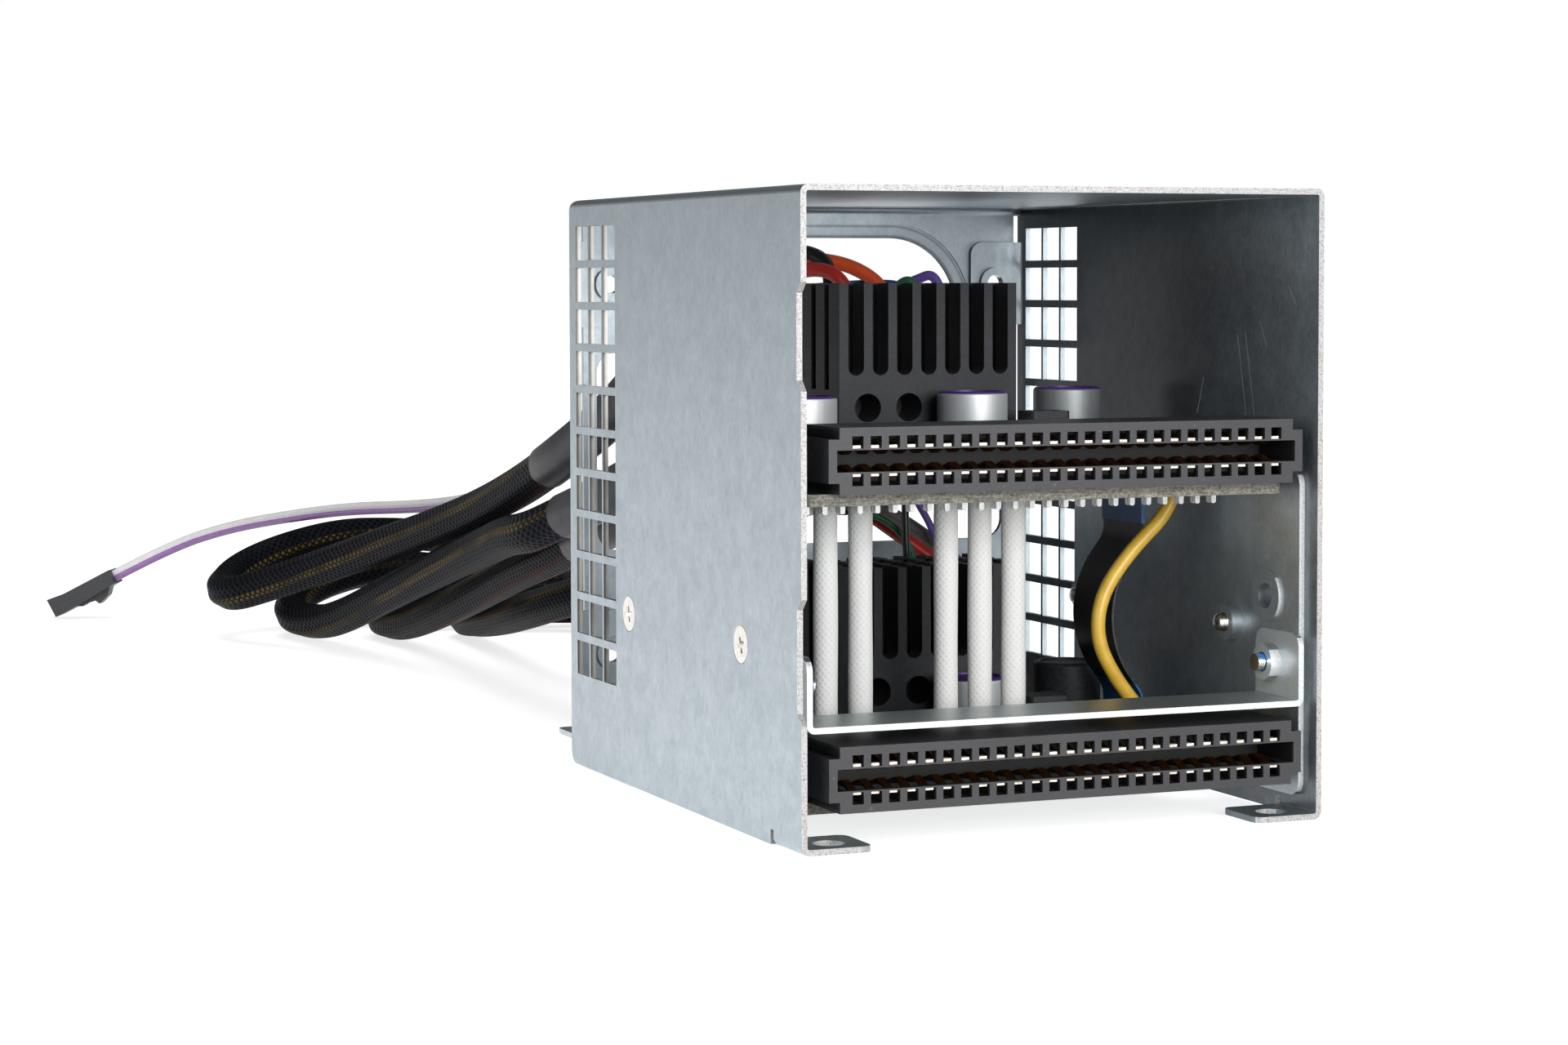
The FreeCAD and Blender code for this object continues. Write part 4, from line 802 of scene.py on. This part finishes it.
insulation_shades = {
    "yellow": ((0.53, 0.32, 0.033), (0.66, 0.43, 0.056)),
    "black": ((0.008, 0.008, 0.009), (0.022, 0.022, 0.024)),
    "green": ((0.018, 0.105, 0.052), (0.038, 0.180, 0.095)),
    "purple": ((0.130, 0.075, 0.36), (0.200, 0.115, 0.50)),
    "red": ((0.42, 0.020, 0.014), (0.58, 0.036, 0.024)),
    "orange": ((0.76, 0.085, 0.022), (0.90, 0.125, 0.034)),
    "blue": ((0.015, 0.060, 0.28), (0.030, 0.100, 0.42)),
    "grey": ((0.10, 0.10, 0.11), (0.17, 0.17, 0.18)),
}
insulations = {colour: wire_insulation(colour, *pair) for colour, pair in insulation_shades.items()}
under_upper, on_upper, on_lower = 44.1, 45.7, 5.1
# By CAD node: colour, radius, length, route
leads = {
    "yellow_lead": ("yellow", 1.0, 45.7, [
        (29.0, -27.0, under_upper), (29.0, -27.0, 41.0), (22.2, -27.0, 35.0), (17.6, -27.0, 29.0),
        (16.9, -27.0, 23.0), (19.6, -27.0, 17.6), (24.6, -27.0, 11.6), (28.4, -27.0, 8.4),
        (28.4, -27.0, on_lower)]),
    "sense_lead_black": ("black", 0.55, 39.0, [
        (8.0, 18.0, under_upper), (8.0, 18.0, 37.0), (8.7, 18.3, 25.0), (8.0, 18.0, 12.0),
        (8.0, 18.0, on_lower)]),
    "sense_lead_green": ("green", 0.55, 47.5, [
        (-4.0, 21.0, under_upper), (-4.0, 21.0, 41.0), (0.0, 21.0, 38.6), (6.0, 21.0, 37.0),
        (10.2, 21.0, 33.0), (12.4, 21.0, 26.0), (13.2, 21.0, 16.0), (13.2, 21.0, on_lower)]),
    "sense_lead_purple": ("purple", 0.55, 40.5, [
        (10.8, 22.5, under_upper), (10.8, 22.5, 41.0), (15.2, 22.5, 34.4), (17.4, 22.5, 25.0),
        (18.4, 22.5, 15.0), (18.4, 22.5, on_lower)]),
    "black_lead": ("black", 1.1, 42.5, [
        (-4.0, 20.0, on_upper), (-4.0, 20.0, 56.0), (-1.6, 23.0, 70.6), (-1.0, 27.4, 77.4),
        (-9.9, 33.0, 77.2), (-9.9, 37.0, 75.2)]),
    "red_lead": ("red", 1.1, 44.8, [
        (2.0, 19.0, on_upper), (2.0, 19.0, 56.0), (0.6, 20.4, 70.4), (-2.6, 22.6, 75.2),
        (-8.0, 30.0, 73.4), (-8.0, 37.0, 73.6)]),
    "orange_lead": ("orange", 1.1, 44.8, [
        (8.0, 20.0, on_upper), (8.0, 20.0, 56.0), (7.6, 21.4, 70.6), (2.4, 25.2, 75.6),
        (-5.8, 31.0, 76.4), (-5.8, 37.0, 75.0)]),
    "green_lead": ("green", 0.75, 47.9, [
        (13.0, 22.0, on_upper), (13.0, 22.0, 58.0), (12.4, 22.6, 74.8), (7.5, 26.0, 69.5),
        (-6.2, 31.0, 72.4), (-6.2, 37.0, 72.4)]),
    "blue_lead": ("blue", 0.75, 48.6, [
        (10.4, 19.0, on_upper), (10.4, 19.0, 57.0), (10.0, 20.4, 71.9), (6.4, 25.6, 72.5),
        (-8.4, 31.0, 71.2), (-8.4, 37.0, 71.2)]),
    "signal_lead": ("purple", 0.75, 47.5, [
        (16.4, 22.0, on_upper), (16.4, 22.0, 59.0), (16.6, 23.4, 74.6), (12.4, 26.6, 72.4),
        (4.52, 33.0, 69.1), (2.0, 40.0, 67.0)]),
    "lower_black_lead": ("black", 1.1, 51.6, [
        (-8.0, 18.6, on_lower), (-8.0, 18.6, 20.0), (-9.6, 21.0, 32.0), (-13.0, 25.4, 41.6),
        (-16.0, 31.0, 46.0), (-16.0, 37.0, 46.0)]),
    "lower_red_lead": ("red", 1.1, 57.8, [
        (21.0, 19.0, on_lower), (21.0, 19.0, 17.0), (17.4, 22.0, 28.4), (9.4, 25.4, 34.6),
        (-4.0, 30.6, 45.0), (-4.0, 37.0, 45.0)]),
    "lower_grey_lead": ("grey", 1.1, 50.0, [
        (25.0, 20.0, on_lower), (25.0, 20.0, 16.0), (22.6, 22.6, 26.4), (16.0, 26.6, 33.4),
        (6.0, 31.0, 40.0), (6.0, 37.0, 40.0)]),
}
for node_name, (colour, radius, length, route) in leads.items():
    lead = cord_curve(node_name + "_wire", route, radius)
    lead.data.materials.append(insulations[colour])
    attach(lead, "root")
    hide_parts(node_name)
    metres(route[0])


# Output cables: wires in an open black braid, gathered in a heat-shrink sleeve where they leave the cage.
# The braid is loose, so yellow and red wires glint through it, and each cable ends in a moulded plug.
def spline_line(route):
    """Points along the route's spline, as Blender itself draws it."""
    guide = cord_curve("guide", route, 0.0)
    drawn = bpy.data.meshes.new_from_object(guide)
    line = [vertex.co.copy() for vertex in drawn.vertices]
    bpy.data.meshes.remove(drawn)
    bpy.data.objects.remove(guide, do_unlink=True)
    return line


def first_stretch(line, length):
    """The part of a line from its start to the first point past this length."""
    run = 0.0
    for index in range(1, len(line)):
        run += (line[index] - line[index - 1]).length
        if run > length:
            return line[:index + 1]
    return line


def black_braid():
    """Open braid over seven wires: where its strands part, a yellow or a red wire shows as a row of dots."""
    material, tree, shader, place = start_material("black_braid")
    turns, run = tube_wrap(tree)
    ridge = weave(tree, turns, run, 14.0, 0.0017)
    # The wires lie as in the braid's outline, here counted round the cable from 0 to 6
    twist = sums(tree, "MULTIPLY_ADD", run, -8.4, 1.32)
    lay = sums(tree, "ADD", product(tree, turns, 7.0), twist)
    wire_number = sums(tree, "FLOORED_MODULO", sums(tree, "FLOOR", sums(tree, "ADD", lay, 0.5)), 7.0)
    on_wire = below(tree, sums(tree, "PINGPONG", lay, 0.5), 0.22)
    every_third = sums(tree, "FLOORED_MODULO", sums(tree, "ADD", wire_number, 1.0), 3.0)
    yellow_wire = product(tree, on_wire, below(tree, every_third, 0.5))
    red_wire = product(tree, on_wire, sums(tree, "COMPARE", wire_number, 4.0))
    dark = (0.003, 0.003, 0.004)
    wires = blend(tree, yellow_wire, dark, (0.17, 0.108, 0.022))
    wires = blend(tree, red_wire, wires, (0.10, 0.009, 0.011))
    shown = mapped(tree, noise(tree, place, 60.0, 2.0, 0.5), 0.36, 0.56, 0.2, 1.0)
    wires = blend(tree, shown, dark, wires)
    fuzz = noise(tree, place, 900.0)
    # Painted shade between the strands and a painted bluish sheen on their ridges
    strands = ramp(tree, between(tree, 0.35, ridge, fuzz), (0.45, (0.004, 0.0045, 0.006)),
                   (0.72, (0.009, 0.0102, 0.0135)), (0.95, (0.022, 0.025, 0.033)))
    gap = mapped(tree, ridge, 0.50, 0.64, 1.0, 0.0)
    coat(tree, shader, Base_Color=blend(tree, gap, strands, wires), Roughness=between(tree, gap, 0.42, 0.6),
         Specular_IOR_Level=0.03, Normal=relief(tree, ridge, 0.5, 0.0003))
    return material


def heat_shrink():
    material, tree, shader, place = start_material("heat_shrink")
    wrinkle = noise(tree, place, 260.0, 4.0)
    fine = noise(tree, place, 1600.0, 2.0)
    coat(tree, shader, Base_Color=shades(tree, wrinkle, (0.046, 0.046, 0.050), (0.078, 0.078, 0.084)),
         Roughness=between(tree, fine, 0.36, 0.48), Specular_IOR_Level=0.3,
         Normal=relief(tree, wrinkle, 0.14, 0.0003))
    return material


def plug_plastic():
    material, tree, shader, place = start_material("plug_plastic")
    fine = noise(tree, place, 1800.0)
    broad = noise(tree, place, 140.0, 2.0, 0.5)
    mottle = between(tree, 0.5, fine, broad)
    coat(tree, shader, Base_Color=shades(tree, mottle, (0.018, 0.019, 0.021), (0.042, 0.044, 0.048)),
         Roughness=between(tree, broad, 0.38, 0.55), Normal=relief(tree, fine, 0.15))
    return material


# By cable: route in its sleeve, route past it, sleeve's length, cable's length, turn of its wires
cable_routes = {
    "a": (
        [(-8.0, 37.0, 74.0), (-8.0, 49.0, 74.0), (-11.0, 59.4, 67.6), (-18.8, 68.4, 53.0),
         (-25.4, 79.9, 44.4)],
        [(-25.4, 91.4, 41.1), (-25.4, 102.9, 38.0), (-25.0, 120.0, 34.2), (-25.7, 140.0, 30.0),
         (-29.1, 172.0, 23.6), (-35.2, 198.0, 17.2), (-42.0, 215.4, 12.4), (-47.6, 226.4, 9.4),
         (-47.8, 237.0, 10.2), (-41.4, 244.6, 13.4), (-31.6, 248.4, 16.6), (-18.0, 251.4, 19.2),
         (-5.0, 255.0, 18.8), (5.0, 258.6, 17.6), (13.0, 261.4, 16.0), (21.0, 263.4, 9.4), (26.0, 264.0, 4.9),
         (34.0, 264.0, 4.9)],
        64.8, 312, 0.0),
    "b": (
        [(-16.0, 37.0, 46.0), (-16.0, 48.0, 46.0), (-19.4, 57.5, 42.6), (-24.6, 66.0, 37.6)],
        [(-27.4, 76.4, 34.2), (-29.64, 84.72, 31.5), (-29.0, 98.0, 30.2), (-27.6, 114.0, 27.4),
         (-26.4, 140.0, 22.4), (-27.6, 178.0, 13.4), (-29.9, 206.0, 6.0), (-32.6, 220.0, 3.8),
         (-35.0, 229.4, 4.6), (-32.2, 238.0, 7.0), (-23.6, 242.6, 10.4), (-12.0, 245.0, 12.6),
         (0.0, 246.4, 11.8), (10.0, 246.0, 8.8), (19.0, 245.2, 6.2), (27.0, 244.6, 4.9), (34.0, 244.6, 4.9)],
        41.4, 279, -0.35),
    "c": (
        [(-4.0, 37.0, 45.0), (-4.0, 49.0, 45.0), (-9.0, 60.0, 40.2), (-14.6, 72.0, 36.0),
         (-18.2, 84.0, 31.2)],
        [(-18.2, 92.0, 29.2), (-18.2, 104.0, 26.2), (-18.4, 122.0, 22.4), (-17.6, 146.0, 17.0),
         (-17.4, 173.0, 10.6), (-16.8, 200.0, 5.4), (-17.4, 213.0, 3.7), (-18.0, 222.2, 4.0),
         (-13.2, 230.0, 5.6), (-4.0, 233.0, 7.2), (6.0, 232.4, 7.0), (15.0, 230.0, 5.8),
         (24.0, 228.0, 4.9), (33.0, 228.0, 4.9)],
        61.1, 249, 0.6),
    "d": (
        [(6.0, 37.0, 40.0), (6.0, 49.0, 40.0), (4.2, 61.0, 36.2), (1.2, 78.0, 29.8), (-2.4, 95.0, 23.84)],
        [(-3.2, 103.0, 21.6), (-4.2, 113.0, 18.8), (-7.2, 131.0, 15.7), (-7.4, 153.0, 11.6),
         (-3.4, 188.0, 6.4), (-2.2, 210.0, 3.8), (-1.4, 219.4, 3.9), (6.4, 224.6, 4.6),
         (15.8, 222.0, 4.9), (24.6, 217.0, 4.9)],
        69.7, 216, 0.25),
}
cable_radius = 0.0036
shrink_radius = 0.0038
braid_under_sleeve = 0.93 * shrink_radius
braid = black_braid()
shrink_finish = heat_shrink()
plug_finish = plug_plastic()
for number, letter in enumerate(cable_routes):
    sleeve_route, braid_route, sleeve_length, length, wire_turn = cable_routes[letter]
    line = spline_line(sleeve_route + braid_route)

    def braid_outline(angle, run, phase=1.7 * number, sleeve=sleeve_length / 1000):
        """Loose braid over seven wires that lie a little twisted, drawn in under the sleeve."""
        wires = 0.5 + 0.5 * math.cos(7 * (angle - 7.54 * run) + 8.29)
        slack = 0.5 + 0.5 * math.sin(46.0 * run + phase) * math.sin(angle + 9.0 * run)
        full = cable_radius * (0.90 + 0.06 * wires + 0.04 * slack)
        return min(full, braid_under_sleeve) if run < sleeve else full

    upright = (math.sin(wire_turn), 0.0, math.cos(wire_turn))
    cable = soft_tube("cable_%s_braid" % letter, line, 56, braid_outline, upright)
    cable.data.materials.append(braid)
    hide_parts("cable_" + letter)

    def shrink_outline(angle, run, phase=2.3 * number):
        """Shrunk tube that shows the wires faintly and is cut square at its end."""
        wires = 0.5 + 0.5 * math.cos(5 * (angle + 6.0 * run) + phase)
        return shrink_radius * (0.965 + 0.03 * wires)

    sleeve_line = first_stretch(line, sleeve_length / 1000)
    shrink = soft_tube("cable_%s_sleeve" % letter, sleeve_line, 48, shrink_outline, (0.0, 0.0, 1.0))
    shrink.data.materials.append(shrink_finish)
    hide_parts("cable_%s_shrink" % letter)
    plug = "cable_%s_plug" % letter
    dress(plug, plug_finish)
    metres(sleeve_route[0])


# Signal cable: a white and a purple wire that lie side by side, the white one on top.
# It leaves by the arch and ends in a small moulded latch plug.
def signal_pair():
    material, tree, shader, place = start_material("signal_pair")
    turns = tube_wrap(tree)[0]
    top = above(tree, sums(tree, "COSINE", product(tree, turns, 2 * math.pi)), -0.12)
    scuffs = noise(tree, place, 700.0, 4.0, 0.65)
    purple_wire = shades(tree, scuffs, (0.30, 0.15, 0.40), (0.38, 0.21, 0.48))
    white_wire = shades(tree, scuffs, (0.84, 0.82, 0.84), (0.92, 0.90, 0.92))
    coat(tree, shader, Base_Color=blend(tree, top, purple_wire, white_wire),
         Roughness=between(tree, scuffs, 0.28, 0.42), Normal=relief(tree, scuffs, 0.04))
    return material


def pair_outline(angle, run):
    """Two round wires, one above the other."""
    return signal_radius * (0.52 + 0.48 * abs(math.cos(angle)))


signal_route = [
    (2.0, 40.0, 67.0), (-1.6, 50.0, 64.0), (-5.0, 76.0, 56.6), (-8.4, 106.0, 48.0), (-11.6, 138.0, 39.0),
    (-13.4, 166.0, 31.6), (-16.4, 196.0, 28.4), (-23.0, 226.0, 26.4), (-31.0, 249.0, 23.4),
    (-39.4, 266.4, 20.2), (-49.1, 278.8, 15.6), (-60.4, 284.0, 9.1),
]
signal_radius = 0.0013
signal_line = spline_line(signal_route)
signal = soft_tube("signal_pair", signal_line, 40, pair_outline, (0.0, 0.0, 1.0))
signal.data.materials.append(signal_pair())
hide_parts("signal_cable")
dress("signal_plug", plug_finish)
metres(signal_route[0])


# Studio: a white paper floor that runs out of view, and a low white backdrop behind the object as the camera
# sees it, dimmer to the sides and dark above. Soft round lamps stand in front, on the left and overhead.
def seen_rays(tree):
    """1 for what the camera sees itself, in gloss or through glass, and 0 for light on the object."""
    rays = add_node(tree, "ShaderNodeLightPath").outputs
    seen = sums(tree, "MAXIMUM", rays["Is Camera Ray"], rays["Is Glossy Ray"])
    return sums(tree, "MAXIMUM", seen, rays["Is Transmission Ray"])


bpy.ops.object.select_all(action="DESELECT")
bpy.ops.mesh.primitive_plane_add(size=8.0, location=(0.0, 0.0, -0.0002))
floor = bpy.context.object
floor.name = "floor"
floor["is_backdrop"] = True
paper, tree, shader, place = start_material("white_paper")
fibres = noise(tree, place, 300.0)
from_cage = add_node(tree, "ShaderNodeVectorMath", {"operation": "LENGTH"}, i0=place).outputs["Value"]
glow = mapped(tree, from_cage, 0.3, 1.0, 0.74, 0.95)
coat(tree, shader, Base_Color=shades(tree, fibres, (0.78, 0.78, 0.78), (0.82, 0.82, 0.82)),
     Roughness=0.95, Specular_IOR_Level=0.0, Emission_Color=(1.0, 1.0, 1.0),
     Emission_Strength=product(tree, seen_rays(tree), glow))
floor.data.materials.append(paper)

camera_turn = 0.3882
camera_way = (math.sin(camera_turn), math.cos(camera_turn), 0.0)
light_from_around = 0.17
dark_ceiling = 0.10
dim_side = 0.40
world = bpy.data.worlds.new("studio")
bpy.context.scene.world = world
world.use_nodes = True
tree = world.node_tree
sky = tree.nodes["Background"]
direction = add_node(tree, "ShaderNodeTexCoord").outputs["Generated"]
backdrop = mapped(tree, dot(tree, direction, camera_way), 0.78, 0.93, dim_side, 1.0)
low_down = mapped(tree, axes(tree, direction)[2], 0.09, 0.18, 1.0, 0.0)
surroundings = between(tree, low_down, dark_ceiling, backdrop)
brightness = between(tree, seen_rays(tree), light_from_around, surroundings)
tree.links.new(brightness, sky.inputs["Strength"])
sky.inputs["Color"].default_value = (1.0, 1.0, 1.0, 1.0)

# By lamp: name, place, target, width, power
lamps = (
    ("front_lamp", (0.06, -1.0, 0.24), (0.0, -0.02, 0.045), 0.6, 10.8),
    ("side_lamp", (-0.95, -0.50, 0.34), (-0.02, 0.04, 0.03), 0.7, 4.0),
    ("top_lamp", (-0.10, 0.10, 0.95), (-0.02, 0.08, 0.0), 0.7, 3.0),
)
for name, place, target, width, power in lamps:
    lamp = bpy.data.lights.new(name, "AREA")
    lamp.shape = "DISK"
    lamp.size = width
    lamp.energy = power
    holder = new_object(name, lamp)
    holder.location = place
    holder.rotation_euler = (Vector(target) - Vector(place)).to_track_quat("-Z", "Y").to_euler()

# The camera stands where the photograph was taken
camera_place = (-0.19685, -0.43483, 0.07264)
camera_dip = 0.0480
camera_roll = -0.0022
focal_pixels = 4042.74
image_width = 1920
axis_above_middle = 100
lens = bpy.data.cameras.new("camera")
lens.sensor_width = 36.0
lens.lens = focal_pixels * lens.sensor_width / image_width
lens.shift_y = -axis_above_middle / image_width
lens.clip_start = 0.01
camera = new_object("camera", lens)
turn = Euler((math.pi / 2 - camera_dip, 0.0, -camera_turn)).to_matrix() @ Matrix.Rotation(camera_roll, 3, "Z")
camera.matrix_world = Matrix.Translation(camera_place) @ turn.to_4x4()
bpy.context.scene.camera = camera
bpy.context.scene.view_settings.view_transform = "Standard"

low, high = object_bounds()
